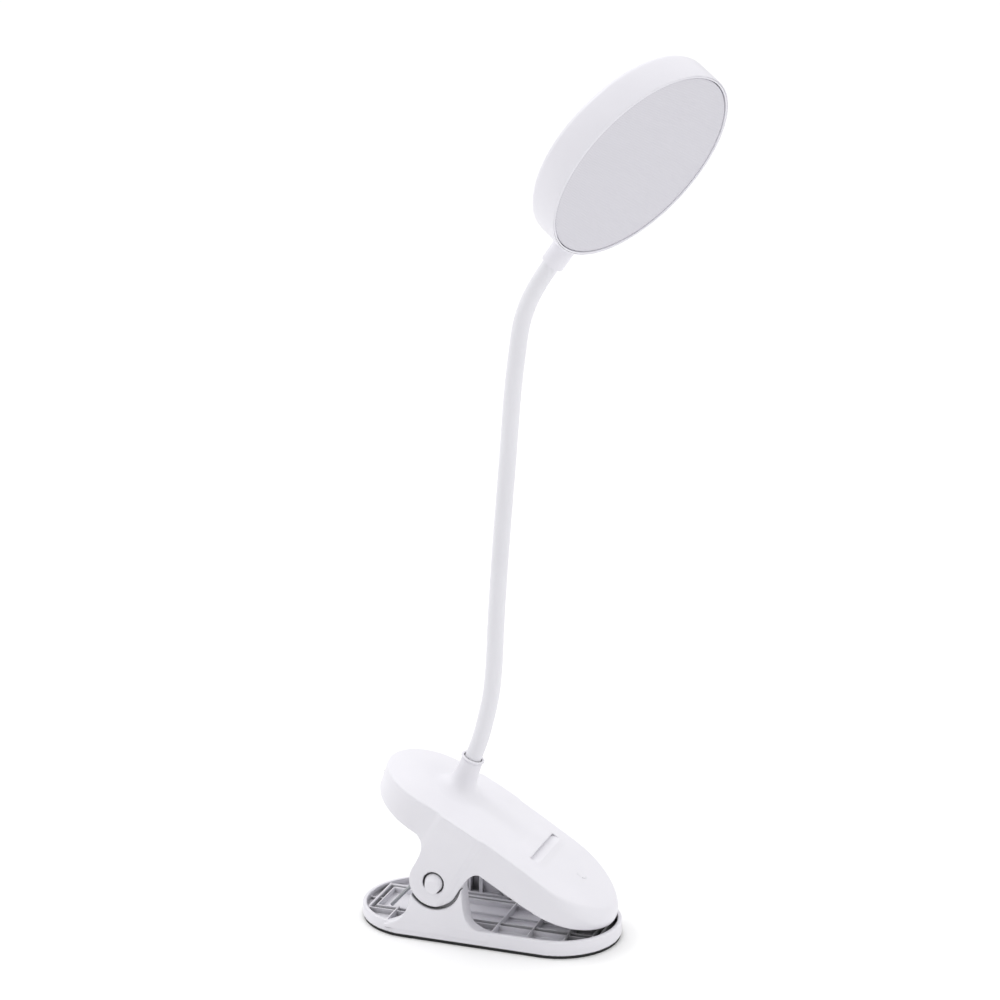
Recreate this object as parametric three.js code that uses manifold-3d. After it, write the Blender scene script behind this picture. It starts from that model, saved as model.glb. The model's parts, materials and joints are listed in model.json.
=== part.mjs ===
// A clip-on reading lamp. A ribbed lower jaw stands on a rubber sole and carries a sprung upper jaw,
// which holds the battery and the controls and a bendable neck with a round light head.
// Millimetres, +Z up, +X towards the mouth of the clip. The origin is the centre of the sole's underside.
import * as THREE from "three";
import { mergeVertices } from "three/addons/utils/BufferGeometryUtils.js";
import Module from "manifold-3d";

const wasm = await Module();
wasm.setup();

// ---------- driving dimensions ----------
const GAP = 0.3; // clearance between pieces that touch
const FINE = 24; // steps round a small circle
const DEG = Math.PI / 180;

const BASE = { length: 130, width: 61, soleTop: 1.5, floorTop: 3.4, rimTop: 8.8, wall: 2.1 };
const RIB = { thickness: 1.3, loopTop: 6.4, crossTop: 7.0, centreTop: 5.0, pitch: 17.6 };
const CROSS_RIBS = [-2.5, -1.5, 0.5, 1.5, 2.5];
const LOOPS = [ { x: 58.5, y: 14.8 }, { x: 55.2, y: 11.2 } ]; // outer and inner ribs, to their middles
const SPRING_ROOM = 10.8; // half the width kept clear of ribs under the spring's leg
const REAR_RIM = { top: 7.2, start: -36, end: -12 }; // the rim slopes up between start and end
const PIVOT = { x: -18.9, z: 30.2 };
const PIN_RADIUS = 2.0;
const EAR = { webInner: 23.6, webOuter: 26.4, skinOuter: 30.5, recess: 13.8, lean: 0.055 };
const EAR_RIBS = { inner: 21.4, top: 14, spans: [[-19.7, -18.5], [-14.2, -12.2]] };
const EAR_STEP = { inner: 20.6, top: 5.3, start: -30, end: 2 };
const UPPER_EAR = { inner: 26.7, outer: 29.3, radius: 12.4, holeRadius: 5.3, seatRadius: 2.15 };
const CAP = { seatRadius: 4.6, endRadius: 3.5, height: 3.0 };

// The upper jaw is modelled lying level, then tipped nose down about its own Y.
const JAW = { x: 9, z: 53, tilt: 30.5 * DEG };
const PEBBLE = {
  tail: 66,
  tailDraft: 3,
  nose: 67.5,
  half: 28.4,
  edgeDrop: 0.9,
  archNose: 0.0006,
  archTail: 0.0013,
  tailCrown: 0.9,
  corner: 0.9,
  noseCorner: 6,
  crown: 2.6,
  wall: 2.0,
};
const UNDERSIDE = { height: -16.9, noseRise: 3.2e-7, tailDrop: 1.6 };
const LEDGE = { u: 19.3, half: 16, height: 1.3, step: 1.1, slope: 0.25 };
const TOUCH = { u: 40, bowl: 35, depth: 0.45 };
const PLATE = { thickness: 1.8, sunk: 0.9 };
const PAD = { start: 38, inset: 8, depth: 1.6 };
const PORT = { width: 9, low: -13.8, high: -10.6, depth: 7.4, inset: 1.5 };
const STATUS = { v: 9.5, w: -12.2 };
const SCREWS = [
  [41, 19],
  [41, -19],
  [-46, 13],
  [-46, -13],
];

const SCREW = { post: 3, drill: 1.3, hole: 1.5, room: 3, head: 2.6, shank: 1.05 };
const STATUS_RADIUS = { bore: 1.25, lens: 0.95 };
const SLIT = 0.4; // play round the charging socket

const NECK = { radius: 4.05, end: 3.88, cup: 4.25, coilRadius: 2.45, boreRadius: 2.8, pieces: 6 };
const SOCKET = { x: -9.1, z: 84.9, lean: 22 * DEG, radius: 5.3, bore: 4.45 };

const HEAD = { x: 65.4, z: 377.5, radius: 50.3, backRadius: 50.2, thickness: 16.6, wall: 1.8, rim: 6.3, lip: 0.55 };
const HEAD_NORMAL = new THREE.Vector3(0.77, -0.32, -0.55).normalize();
const COLLAR = { radius: 5.5, low: 62.4, high: 48.2, bore: 4.65, boreDepth: 10 };
const SPRING = { radius: 6.2, wire: 0.9, turns: 5, pitch: 2.2 };
const LEDS = { count: 8, circle: 27 };
const HEAD_SCREWS = { count: 3, circle: 36 };
const BOARD = { radius: 41, low: -4.8, high: -3.6 };

// A point of the XZ plane in the level jaw's own u and w.
function toJaw(x, z) {
  const dx = x - JAW.x;
  const dz = z - JAW.z;
  const c = Math.cos(JAW.tilt);
  const s = Math.sin(JAW.tilt);
  return { u: dx * c - dz * s, w: dx * s + dz * c };
}

const PIVOT_LOCAL = toJaw(PIVOT.x, PIVOT.z);
const SOCKET_LOCAL = { ...toJaw(SOCKET.x, SOCKET.z), lean: SOCKET.lean - JAW.tilt };

// ---------- materials ----------
const COLOURS = {
  white_plastic: ["#f1f0f4", 0.42, 0],
  white_sleeve: ["#eeedf2", 0.6, 0],
  black_rubber: ["#161618", 0.85, 0],
  frosted: ["#e2e0e8", 0.55, 0],
  steel: ["#b9bcc2", 0.32, 1],
  board: ["#2f6b46", 0.5, 0],
  battery: ["#9aa3ad", 0.45, 0.4],
  red_lead: ["#b3261e", 0.5, 0],
  black_lead: ["#1c1c1e", 0.5, 0],
  led: ["#f4e7b0", 0.35, 0],
};

const lamp = new THREE.Group();

function material(kind) {
  const [color, roughness, metalness] = COLOURS[kind];
  return new THREE.MeshStandardMaterial({ color, roughness, metalness });
}

function add(parent, name, kind, shape) {
  const geometry = shape.isBufferGeometry ? shape : toGeometry(shape);
  const mesh = new THREE.Mesh(geometry, material(kind));
  mesh.name = name;
  parent.add(mesh);
  return mesh;
}

// ---------- solids ----------
function solid(geometry) {
  const bare = geometry.clone();
  for (const name of Object.keys(bare.attributes)) {
    if (name !== "position") bare.deleteAttribute(name);
  }
  const merged = mergeVertices(bare, 1e-4);
  return new wasm.Manifold(
    new wasm.Mesh({
      numProp: 3,
      vertProperties: new Float32Array(merged.attributes.position.array),
      triVerts: new Uint32Array(merged.index.array),
    }),
  );
}

function toGeometry(manifold) {
  const mesh = manifold.getMesh();
  const geometry = new THREE.BufferGeometry();
  geometry.setAttribute("position", new THREE.BufferAttribute(mesh.vertProperties, 3));
  geometry.setIndex(new THREE.BufferAttribute(mesh.triVerts, 1));
  geometry.computeVertexNormals();
  return geometry;
}

function join(...shapes) {
  return shapes.map((s) => (s.isBufferGeometry ? solid(s) : s)).reduce((a, b) => a.add(b));
}

function cut(from, ...tools) {
  const start = from.isBufferGeometry ? solid(from) : from;
  return tools.map((s) => (s.isBufferGeometry ? solid(s) : s)).reduce((a, b) => a.subtract(b), start);
}

function box(x0, x1, y0, y1, z0, z1) {
  const geometry = new THREE.BoxGeometry(x1 - x0, y1 - y0, z1 - z0);
  return geometry.translate((x0 + x1) / 2, (y0 + y1) / 2, (z0 + z1) / 2);
}

// A round bar from low to high along one axis.
function bar(axis, radius, low, high, a = 0, b = 0, steps = FINE, highRadius = radius) {
  const geometry = new THREE.CylinderGeometry(highRadius, radius, high - low, steps);
  geometry.translate(0, (low + high) / 2, 0);
  if (axis === "y") return geometry.translate(a, 0, b);
  if (axis === "z") return geometry.rotateX(Math.PI / 2).translate(a, b, 0);
  return geometry.rotateZ(-Math.PI / 2).translate(0, a, b);
}

// A lathe profile of [radius, height] points, turned about Z.
function turned(points, steps) {
  const profile = points.map(([r, z]) => new THREE.Vector2(r, z));
  return new THREE.LatheGeometry(profile, steps).rotateX(Math.PI / 2);
}

function stadiumShape(length, width) {
  const r = width / 2;
  const straight = length / 2 - r;
  const shape = new THREE.Shape();
  shape.moveTo(-straight, -r);
  shape.lineTo(straight, -r);
  shape.absarc(straight, 0, r, -Math.PI / 2, Math.PI / 2);
  shape.lineTo(-straight, r);
  shape.absarc(-straight, 0, r, Math.PI / 2, (3 * Math.PI) / 2);
  return shape;
}

function stadium(length, width, z0, z1, steps = 10) {
  const geometry = new THREE.ExtrudeGeometry(stadiumShape(length, width), {
    depth: z1 - z0,
    bevelEnabled: false,
    curveSegments: steps,
  });
  return geometry.translate(0, 0, z0);
}

// A plate whose outline lies in the XZ plane, from y0 to y1.
function plate(shape, y0, y1, steps = 10) {
  const geometry = new THREE.ExtrudeGeometry(shape, {
    depth: y1 - y0,
    bevelEnabled: false,
    curveSegments: steps,
  });
  return geometry.rotateX(Math.PI / 2).translate(0, y1, 0);
}

function mirrored(shape) {
  const made = shape.isBufferGeometry ? solid(shape) : shape;
  return made.mirror([0, 1, 0]);
}

// ---------- lower jaw ----------
function lowerEarShape() {
  const shape = new THREE.Shape();
  shape.moveTo(-43.5, 6);
  shape.bezierCurveTo(-35.5, 8, -32.6, 12.5, -31.4, 18.6);
  shape.bezierCurveTo(-30.4, 24, -30, 26, -29.6, 30);
  shape.absarc(PIVOT.x, PIVOT.z, 10.7, Math.PI, 0.55, true);
  shape.lineTo(-4.9, 33.2);
  shape.bezierCurveTo(-4.6, 26, -4.4, 19, -2.6, 14.2);
  shape.bezierCurveTo(-0.6, 10, 3.4, 8.4, 8, 6);
  shape.closePath();
  return shape;
}

function frontFlangeShape() {
  const shape = new THREE.Shape();
  shape.moveTo(-4.9, 33.2);
  shape.bezierCurveTo(-4.5, 26, -4, 20, -3.1, 15);
  shape.bezierCurveTo(-2.4, 10.5, -1, 7.6, 4, 5.3);
  shape.lineTo(0.5, 4);
  shape.bezierCurveTo(-3.2, 8, -4.8, 12, -5.6, 15.5);
  shape.bezierCurveTo(-6.6, 20, -6.9, 25, -7.2, 29.6);
  shape.closePath();
  return shape;
}

function lean(geometry) {
  const position = geometry.attributes.position;
  for (let i = 0; i < position.count; i += 1) {
    const rise = Math.max(0, position.getZ(i) - BASE.rimTop);
    position.setY(i, position.getY(i) + EAR.lean * rise);
  }
  return geometry;
}

function lowerEar() {
  const skinInner = EAR.webOuter - 0.4;
  const skin = lean(plate(lowerEarShape(), -EAR.skinOuter, -skinInner, 8));
  const recess = bar("y", EAR.recess, -40, -EAR.webOuter, PIVOT.x, PIVOT.z, 48);
  const aboveRecess = box(-60, 20, -40, -EAR.webOuter, PIVOT.z - 2, 60);
  const web = plate(lowerEarShape(), -EAR.webOuter, -EAR.webInner, 8);
  const flange = plate(frontFlangeShape(), -EAR.webInner - 0.5, -20.5, 8);
  const ribs = EAR_RIBS.spans.map(([x0, x1]) =>
    box(x0, x1, -EAR.webInner - 0.5, -EAR_RIBS.inner, BASE.floorTop - 0.3, EAR_RIBS.top),
  );
  const { inner, top, start, end } = EAR_STEP;
  const step = box(start, end, -EAR.webInner - 0.5, -inner, BASE.floorTop - 0.3, top);
  const pinHole = bar("y", PIN_RADIUS + 0.08, -40, -10, PIVOT.x, PIVOT.z);
  return cut(join(cut(skin, recess, aboveRecess), web, flange, ...ribs, step), pinHole);
}

function rib(x0, x1, y0, y1, top) {
  return box(x0, x1, y0, y1, BASE.floorTop - 0.3, top);
}

function rectangleLoop({ x, y }, top) {
  const t = RIB.thickness / 2;
  const outside = rib(-x - t, x + t, -y - t, y + t, top);
  const inside = box(-x + t, x - t, -y + t, y - t, BASE.floorTop - 1, top + 1);
  return cut(outside, inside);
}

function aboveRearRim() {
  const shape = new THREE.Shape();
  shape.moveTo(-70, REAR_RIM.top);
  shape.lineTo(REAR_RIM.start, REAR_RIM.top);
  shape.lineTo(REAR_RIM.end, BASE.rimTop);
  shape.lineTo(REAR_RIM.end, 20);
  shape.lineTo(-70, 20);
  shape.closePath();
  return plate(shape, -40, 40);
}

function lowerJaw() {
  const { length, width, wall } = BASE;
  const shell = cut(
    stadium(length, width, BASE.soleTop, BASE.rimTop),
    stadium(length - 2 * wall, width - 2 * wall, BASE.floorTop, BASE.rimTop + 1),
  );
  const t = RIB.thickness / 2;
  const parts = [rib(-55, 55, -t, t, RIB.centreTop)];
  for (const step of CROSS_RIBS) {
    const x = step * RIB.pitch;
    parts.push(rib(x - t, x + t, -40, 40, RIB.crossTop));
  }
  const room = box(-56, -30, -SPRING_ROOM, SPRING_ROOM, 0, 20);
  const loops = LOOPS.map((loop) => rectangleLoop(loop, RIB.loopTop));
  const ribs = join(cut(join(...parts), room), ...loops).intersect(
    solid(stadium(length - wall, width - wall, BASE.floorTop - 0.3, BASE.rimTop)),
  );
  const ear = lowerEar();
  return join(cut(shell, aboveRearRim()), ribs, ear, mirrored(ear));
}

function rubberSole() {
  return stadium(BASE.length - 0.8, BASE.width - 0.8, 0, BASE.soleTop - 0.1);
}

// ---------- pivot ----------
function pivotCap(side) {
  const seat = UPPER_EAR.inner + 1.2;
  const face = UPPER_EAR.outer + 0.2;
  const profile = [
    [0, seat],
    [CAP.seatRadius, seat],
    [CAP.seatRadius, face],
    [CAP.endRadius + 0.5, face + CAP.height - 0.7],
    [CAP.endRadius - 0.1, face + CAP.height],
    [0, face + CAP.height + 0.25],
  ];
  const cap = turned(profile, FINE).rotateX(side > 0 ? -Math.PI / 2 : Math.PI / 2);
  return cap.translate(PIVOT.x, 0, PIVOT.z);
}

// The spring's centre line: a leg up from the tray's floor, the coil round the pin, and a leg up to
// the jaw's tail. Each leg leaves the coil along its tangent.
function springLine() {
  const { radius, wire, turns, pitch } = SPRING;
  const half = (turns * pitch) / 2;
  const first = 138 * DEG;
  const last = first - (turns * 360 - 70) * DEG;
  const onCoil = (share) => {
    const angle = first + (last - first) * share;
    const x = PIVOT.x + radius * Math.cos(angle);
    const z = PIVOT.z + radius * Math.sin(angle);
    return new THREE.Vector3(x, -half + 2 * half * share, z);
  };
  const foot = new THREE.Vector3(PIVOT.x - 31, -half, BASE.floorTop + wire + GAP);
  const tip = new THREE.Vector3(PIVOT.x - 22.6, half, PIVOT.z + 30.2);
  const coil = Array.from({ length: turns * 12 + 1 }, (_, i) => onCoil(i / (turns * 12)));
  const start = coil[0];
  const end = coil[coil.length - 1];
  const footLeg = [0, 0.45, 0.9].map((t) => foot.clone().lerp(start, t));
  const tipLeg = [0.1, 0.55, 1].map((t) => end.clone().lerp(tip, t));
  return new THREE.CatmullRomCurve3([...footLeg, ...coil, ...tipLeg]);
}

function roundWire(line, radius, sides, steps) {
  const section = new THREE.Shape();
  section.absarc(0, 0, radius, 0, 2 * Math.PI);
  return new THREE.ExtrudeGeometry(section, {
    steps,
    bevelEnabled: false,
    extrudePath: line,
    curveSegments: sides,
  });
}

// ---------- upper jaw ----------
function smooth(x, from, to) {
  const t = Math.min(1, Math.max(0, (x - from) / (to - from)));
  return t * t * (3 - 2 * t);
}

// The level jaw's outline: index 0 is the nose, half the points later is the tail. Each point also
// holds the point of the middle line that it shrinks towards.
function pebbleOutline(inset, draft = 0) {
  const half = PEBBLE.half - inset;
  const nose = PEBBLE.nose - inset;
  const tail = PEBBLE.tail - inset - draft;
  const noseStart = nose - half * 1.18;
  const tailStart = -PEBBLE.tail + PEBBLE.half;
  const side = [];
  const endSteps = 9;
  const sideSteps = 6;
  for (let i = 0; i <= endSteps; i += 1) {
    const a = (i / endSteps) * 90 * DEG;
    side.push([noseStart + (nose - noseStart) * Math.cos(a), half * Math.sin(a), noseStart]);
  }
  for (let i = 1; i < sideSteps; i += 1) {
    const u = noseStart + (tailStart - noseStart) * (i / sideSteps);
    side.push([u, half, u]);
  }
  for (let i = 0; i <= endSteps; i += 1) {
    const a = (i / endSteps) * 90 * DEG;
    side.push([tailStart - (tail + tailStart) * Math.sin(a), half * Math.cos(a), tailStart]);
  }
  const back = side.slice(1, -1).reverse();
  return [...side, ...back.map(([u, v, m]) => [u, -v, m])];
}

function edgeHeight(u) {
  const bend = u > 0 ? PEBBLE.archNose : PEBBLE.archTail;
  return -PEBBLE.edgeDrop - bend * u * u;
}

function crownHeight(u) {
  return PEBBLE.crown + PEBBLE.tailCrown * smooth(-u, 15, 50);
}

function undersideHeight(u) {
  const rise = u > 0 ? UNDERSIDE.noseRise * u ** 4 : 0;
  return UNDERSIDE.height + rise - UNDERSIDE.tailDrop * smooth(-u, 0, 30);
}

function cornerRadius(u) {
  return PEBBLE.corner + (PEBBLE.noseCorner - PEBBLE.corner) * smooth(u, 18, 62);
}

// Skins a stack of outlines of equal length into one closed body. Each end is closed across.
function skin(rings) {
  const count = rings[0].length;
  const positions = rings.flat().flatMap((p) => [p.x, p.y, p.z]);
  const index = [];
  for (let r = 0; r + 1 < rings.length; r += 1) {
    for (let i = 0; i < count; i += 1) {
      const a = r * count + i;
      const b = r * count + ((i + 1) % count);
      index.push(a, b, a + count, b, b + count, a + count);
    }
  }
  const top = (rings.length - 1) * count;
  for (let i = 0; i < count / 2; i += 1) {
    const opposite = (count - i) % count;
    const next = i + 1;
    const before = count - next;
    if (i > 0) {
      index.push(i, opposite, next);
      index.push(top + i, top + next, top + opposite);
    }
    if (next < count / 2) {
      index.push(next, opposite, before);
      index.push(top + next, top + before, top + opposite);
    }
  }
  const geometry = new THREE.BufferGeometry();
  geometry.setAttribute("position", new THREE.Float32BufferAttribute(positions, 3));
  geometry.setIndex(index);
  geometry.computeVertexNormals();
  return geometry;
}

function ring(outline, share, height) {
  return outline.map(([u, v, m]) => {
    const s = share([u, v, m]);
    const x = m + (u - m) * s;
    return new THREE.Vector3(x, v * s, height(x, s, u));
  });
}

// The pebble's outer form drawn in by inset all round. Its underside is a function of u.
function pebble(inset, underside) {
  const outline = pebbleOutline(inset);
  const reach = ([u, v, m]) => Math.hypot(u - m, v);
  const radius = (u) => Math.max(cornerRadius(u) - inset, 0.25);
  const rings = [ring(pebbleOutline(inset, PEBBLE.tailDraft), () => 1, (x) => underside(x))];
  for (const turn of [0, 45, 90]) {
    const a = turn * DEG;
    const share = (p) => 1 - (radius(p[0]) * (1 - Math.cos(a))) / reach(p);
    rings.push(ring(outline, share, (x, s, u) => edgeHeight(x) - inset - radius(u) * (1 - Math.sin(a))));
  }
  for (const s of [0.7, 0.38, 0.04]) {
    const share = (p) => s * (1 - radius(p[0]) / reach(p));
    rings.push(ring(outline, share, (x) => edgeHeight(x) - inset + crownHeight(x) * (1 - s * s)));
  }
  return skin(rings);
}

function slab(inset, bottom, top) {
  const outline = pebbleOutline(inset, PEBBLE.tailDraft);
  return skin([ring(outline, () => 1, bottom), ring(outline, () => 1, top)]);
}

function upperEarShape() {
  const shape = new THREE.Shape();
  const r = UPPER_EAR.radius;
  const { u, w } = PIVOT_LOCAL;
  shape.moveTo(u + r - 2.6, -1.6);
  shape.lineTo(u - r - 1.4, -2.6);
  shape.lineTo(u - r - 4.2, -17.2);
  shape.bezierCurveTo(u - r - 0.6, -20.5, u - r, -24, u - r, w);
  shape.absarc(u, w, r, Math.PI, 2 * Math.PI);
  shape.bezierCurveTo(u + r, -26, u + r - 0.4, -20, u + r + 3.6, -16.2);
  shape.closePath();
  return shape;
}

function upperEar() {
  const outer = UPPER_EAR.outer;
  const flap = plate(upperEarShape(), -outer, -UPPER_EAR.inner, 12);
  const { u, w } = PIVOT_LOCAL;
  const seat = bar("y", UPPER_EAR.holeRadius, -40, -(UPPER_EAR.inner + 1.1), u, w, 36);
  const hole = bar("y", UPPER_EAR.seatRadius, -40, -20, u, w);
  return { flap, holes: [seat, hole] };
}

// The flared socket that the neck stands in. Its own Z runs up along the neck from the ring.
function onSocket(shape) {
  const made = shape.isBufferGeometry ? shape : toGeometry(shape);
  return made.rotateY(SOCKET_LOCAL.lean).translate(SOCKET_LOCAL.u, 0, SOCKET_LOCAL.w);
}

function socketFlare() {
  const r = SOCKET.radius;
  const profile = [
    [0, -30],
    [18, -30],
    [16, -21],
    [11.5, -18.6],
    [8.6, -15.6],
    [6.9, -11.6],
    [5.9, -6.6],
    [r, -1.6],
    [r + 0.45, -1],
    [r + 0.45, -0.3],
    [r, 0],
    [0, 0],
  ];
  return onSocket(turned(profile, 20));
}

function upperShell() {
  const flare = socketFlare();
  const outer = pebble(0, undersideHeight);
  const ear = upperEar();
  const cavity = solid(pebble(PEBBLE.wall, () => -45));
  const earBoth = join(ear.flap, mirrored(ear.flap));
  const aboveFloor = solid(box(-70, 70, -60, 60, -18, 60));
  const flareOnTop = solid(flare).intersect(aboveFloor);
  let shell = join(outer, flareOnTop);
  shell = cut(shell, cavity);
  const posts = SCREWS.map(([u, v]) => bar("z", SCREW.post, plateTop(u) + GAP, 0, u, v, 16));
  const ceiling = solid(pebble(PEBBLE.wall - 0.4, undersideHeight));
  shell = join(shell, join(...posts).intersect(ceiling), earBoth);
  const bore = onSocket(bar("z", SOCKET.bore, -40, 5));
  const drill = SCREWS.map(([u, v]) => bar("z", SCREW.drill, -20, -9, u, v, 12));
  const portHalf = PORT.width / 2 + SLIT;
  const port = box(-75, -58, -portHalf, portHalf, PORT.low - SLIT, PORT.high + SLIT);
  const light = bar("x", STATUS_RADIUS.bore, -75, -54, STATUS.v, STATUS.w, 12);
  const holes = ear.holes.flatMap((h) => [solid(h), mirrored(h)]);
  shell = cut(shell, bore, ...drill, port, light, ...holes);
  return cut(join(shell, ledge()), thumbRamp(), touchMark());
}

function ledge() {
  const shape = new THREE.Shape();
  const { u, half, height } = LEDGE;
  const top = edgeHeight(u) + PEBBLE.crown;
  shape.moveTo(u - 8, top - 1.4);
  shape.lineTo(u - 8, top - 0.4);
  shape.lineTo(u - 0.5, top + height);
  shape.lineTo(u, top + height - 0.1);
  shape.lineTo(u, top - 1.4);
  shape.closePath();
  return plate(shape, -half, half);
}

function thumbRamp() {
  const shape = new THREE.Shape();
  const { u, half, step, slope } = LEDGE;
  const top = edgeHeight(u) + PEBBLE.crown;
  const reach = 7;
  shape.moveTo(u, top + 3);
  shape.lineTo(u, top - step);
  shape.lineTo(u + reach, top - step + slope * reach);
  shape.lineTo(u + reach, top + 3);
  shape.closePath();
  return plate(shape, -half + 0.4, half - 0.4);
}

function touchMark() {
  const u = TOUCH.u;
  const bowl = new THREE.SphereGeometry(TOUCH.bowl, 20, 24);
  const surface = edgeHeight(u) + PEBBLE.crown;
  return bowl.translate(u, 0, surface + TOUCH.bowl - TOUCH.depth);
}

function plateTop(u) {
  return undersideHeight(u) + PLATE.sunk + PLATE.thickness;
}

function underPlate() {
  const inset = PEBBLE.wall + GAP;
  const bottom = (x) => undersideHeight(x) + PLATE.sunk;
  const tools = [];
  for (const [u, v] of SCREWS) {
    tools.push(bar("z", SCREW.hole, -25, 0, u, v, 12));
    tools.push(bar("z", SCREW.room, -25, undersideHeight(u) + 1.9, u, v, 16));
  }
  const room = pebble(inset, () => -45);
  return cut(solid(slab(inset, bottom, plateTop)).intersect(solid(room)), ...tools);
}

function shellScrew([u, v]) {
  const head = undersideHeight(u) + 2.0;
  const disc = bar("z", SCREW.head, head - 1.1, head - 0.1, u, v, 12);
  return join(disc, bar("z", SCREW.shank, head - 0.3, -9.6, u, v, 8));
}

function gripPad() {
  const bottom = (x) => undersideHeight(x) - PAD.depth;
  const top = (x) => undersideHeight(x) + 0.6;
  const window = box(PAD.start, 90, -40, 40, -40, 0);
  return solid(slab(PAD.inset, bottom, top)).intersect(solid(window));
}

function neckNut() {
  const { bore } = SOCKET;
  const nut = cut(bar("z", 7.2, -24.4, -21.2, 0, 0, 6), bar("z", bore, -30, -10));
  return onSocket(nut);
}

// ---------- neck ----------
// The neck's centre line in the XZ plane, from inside the socket to inside the collar.
const NECK_LINE = new THREE.CatmullRomCurve3(
  [
    [-16.3, 67.1],
    [-9.1, 84.9],
    [-5.6, 94.4],
    [-2.6, 105.5],
    [0, 117.9],
    [1.3, 130.1],
    [2.8, 160],
    [5.2, 195.6],
    [8, 230.6],
    [10.6, 265],
    [12.5, 282],
    [15.2, 299.2],
    [19.4, 310.7],
    [26.5, 322.8],
    [34.3, 333.7],
  ].map(([x, z]) => new THREE.Vector3(x, 0, z)),
);

// The length of the neck's centre line up to the point nearest to x, z.
function nearestLength(x, z) {
  const target = new THREE.Vector3(x, 0, z);
  const steps = 2000;
  let best = 0;
  for (let i = 0; i <= steps; i += 1) {
    const nearer = NECK_LINE.getPointAt(i / steps).distanceTo(target);
    if (nearer < NECK_LINE.getPointAt(best / steps).distanceTo(target)) best = i;
  }
  return (best / steps) * NECK_LINE.getLength();
}

const RING_AT = nearestLength(SOCKET.x, SOCKET.z);
const NECK_END = NECK_LINE.getLength() - RING_AT - 3.5;
const FIRST_JOINT = 5.5;
const JOINTS = Array.from(
  { length: NECK.pieces },
  (_, i) => FIRST_JOINT + (i * (NECK_END - 12 - FIRST_JOINT)) / NECK.pieces,
);
const HEAD_SCREW_PLACES = placesOnCircle(HEAD_SCREWS.count, HEAD_SCREWS.circle, Math.PI / 2);

function touchSpring() {
  const points = [];
  const turns = 3;
  const low = -9.0;
  const high = edgeHeight(TOUCH.u) + PEBBLE.crown - PEBBLE.wall - TOUCH.depth - 0.9;
  for (let i = 0; i <= turns * 10; i += 1) {
    const a = (i / 10) * 2 * Math.PI;
    const w = low + ((high - low) * i) / (turns * 10);
    points.push(new THREE.Vector3(TOUCH.u + 3.4 * Math.cos(a), 3.4 * Math.sin(a), w));
  }
  return roundWire(new THREE.CatmullRomCurve3(points), 0.35, 2, turns * 10);
}

function chargePort() {
  const { width, low, high, depth } = PORT;
  const u = -PEBBLE.tail + PORT.inset;
  const half = width / 2;
  const shell = box(u, u + depth, -half, half, low, high);
  const mouth = box(u - 1, u + depth - 1.5, -half + 0.4, half - 0.4, low + 0.4, high - 0.4);
  const tongue = box(u + 1, u + depth - 1, -half + 1.6, half - 1.6, (low + high) / 2 - 0.35, (low + high) / 2 + 0.35);
  return join(cut(shell, mouth), tongue);
}

function batteryLead(side) {
  const line = new THREE.CatmullRomCurve3([
    new THREE.Vector3(-19.4, side * 12, -11),
    new THREE.Vector3(-24, side * 14, -11.5),
    new THREE.Vector3(-34, side * 16, -13.2),
    new THREE.Vector3(-41, side * 8, -13.8),
    new THREE.Vector3(-48.6, side * 5.5, -14.2),
  ]);
  return roundWire(line, 0.7, 3, 10);
}

// Skins rings of one size of polygon along a line. A closed stack joins its last ring to its first.
function ringedTube(rings, sides, closed) {
  const across = new THREE.Vector3(0, 1, 0);
  const positions = [];
  for (const { centre, along, radius } of rings) {
    const up = new THREE.Vector3().crossVectors(along, across).normalize();
    for (let i = 0; i < sides; i += 1) {
      const a = (i / sides) * 2 * Math.PI;
      const p = centre.clone().addScaledVector(across, radius * Math.cos(a));
      p.addScaledVector(up, radius * Math.sin(a));
      positions.push(p.x, p.y, p.z);
    }
  }
  const index = [];
  const bands = closed ? rings.length : rings.length - 1;
  for (let r = 0; r < bands; r += 1) {
    const next = (r + 1) % rings.length;
    for (let i = 0; i < sides; i += 1) {
      const j = (i + 1) % sides;
      const a = r * sides + i;
      const b = r * sides + j;
      const c = next * sides + i;
      const d = next * sides + j;
      index.push(a, b, c, b, d, c);
    }
  }
  if (!closed) {
    for (let i = 1; i + 1 < sides; i += 1) {
      const end = (rings.length - 1) * sides;
      index.push(0, i + 1, i, end, end + i, end + i + 1);
    }
  }
  const geometry = new THREE.BufferGeometry();
  geometry.setAttribute("position", new THREE.Float32BufferAttribute(positions, 3));
  geometry.setIndex(index);
  geometry.computeVertexNormals();
  return geometry;
}

// A place on the neck's centre line, at a distance in millimetres from the socket's ring.
function onNeck(distance) {
  const t = (RING_AT + distance) / NECK_LINE.getLength();
  return { centre: NECK_LINE.getPointAt(t), along: NECK_LINE.getTangentAt(t) };
}

// A place past a joint's centre, on the straight line through it.
function pastJoint(joint, distance) {
  return { centre: joint.centre.clone().addScaledVector(joint.along, distance), along: joint.along };
}

// The domed end that turns in the next piece's cup, as rings from the sleeve's side to its bore.
function domeRings(joint) {
  const rings = [{ ...pastJoint(joint, -2.2), radius: NECK.end }];
  for (const degrees of [0, 25, 43]) {
    const a = degrees * DEG;
    rings.push({ ...pastJoint(joint, NECK.end * Math.sin(a)), radius: NECK.end * Math.cos(a) });
  }
  return rings;
}

// The cupped end round a joint's centre, as rings from its bore out to its rim.
function cupRings(joint) {
  const rings = [];
  for (const degrees of [48, 33]) {
    const a = degrees * DEG;
    rings.push({ ...pastJoint(joint, NECK.cup * Math.sin(a)), radius: NECK.cup * Math.cos(a) });
  }
  const rim = Math.sqrt(NECK.cup ** 2 - NECK.radius ** 2);
  rings.push({ ...pastJoint(joint, rim), radius: NECK.radius });
  return rings;
}

function along(from, to, steps, radius) {
  const rings = [];
  for (let i = 0; i <= steps; i += 1) rings.push({ ...onNeck(from + ((to - from) * i) / steps), radius });
  return rings;
}

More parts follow.
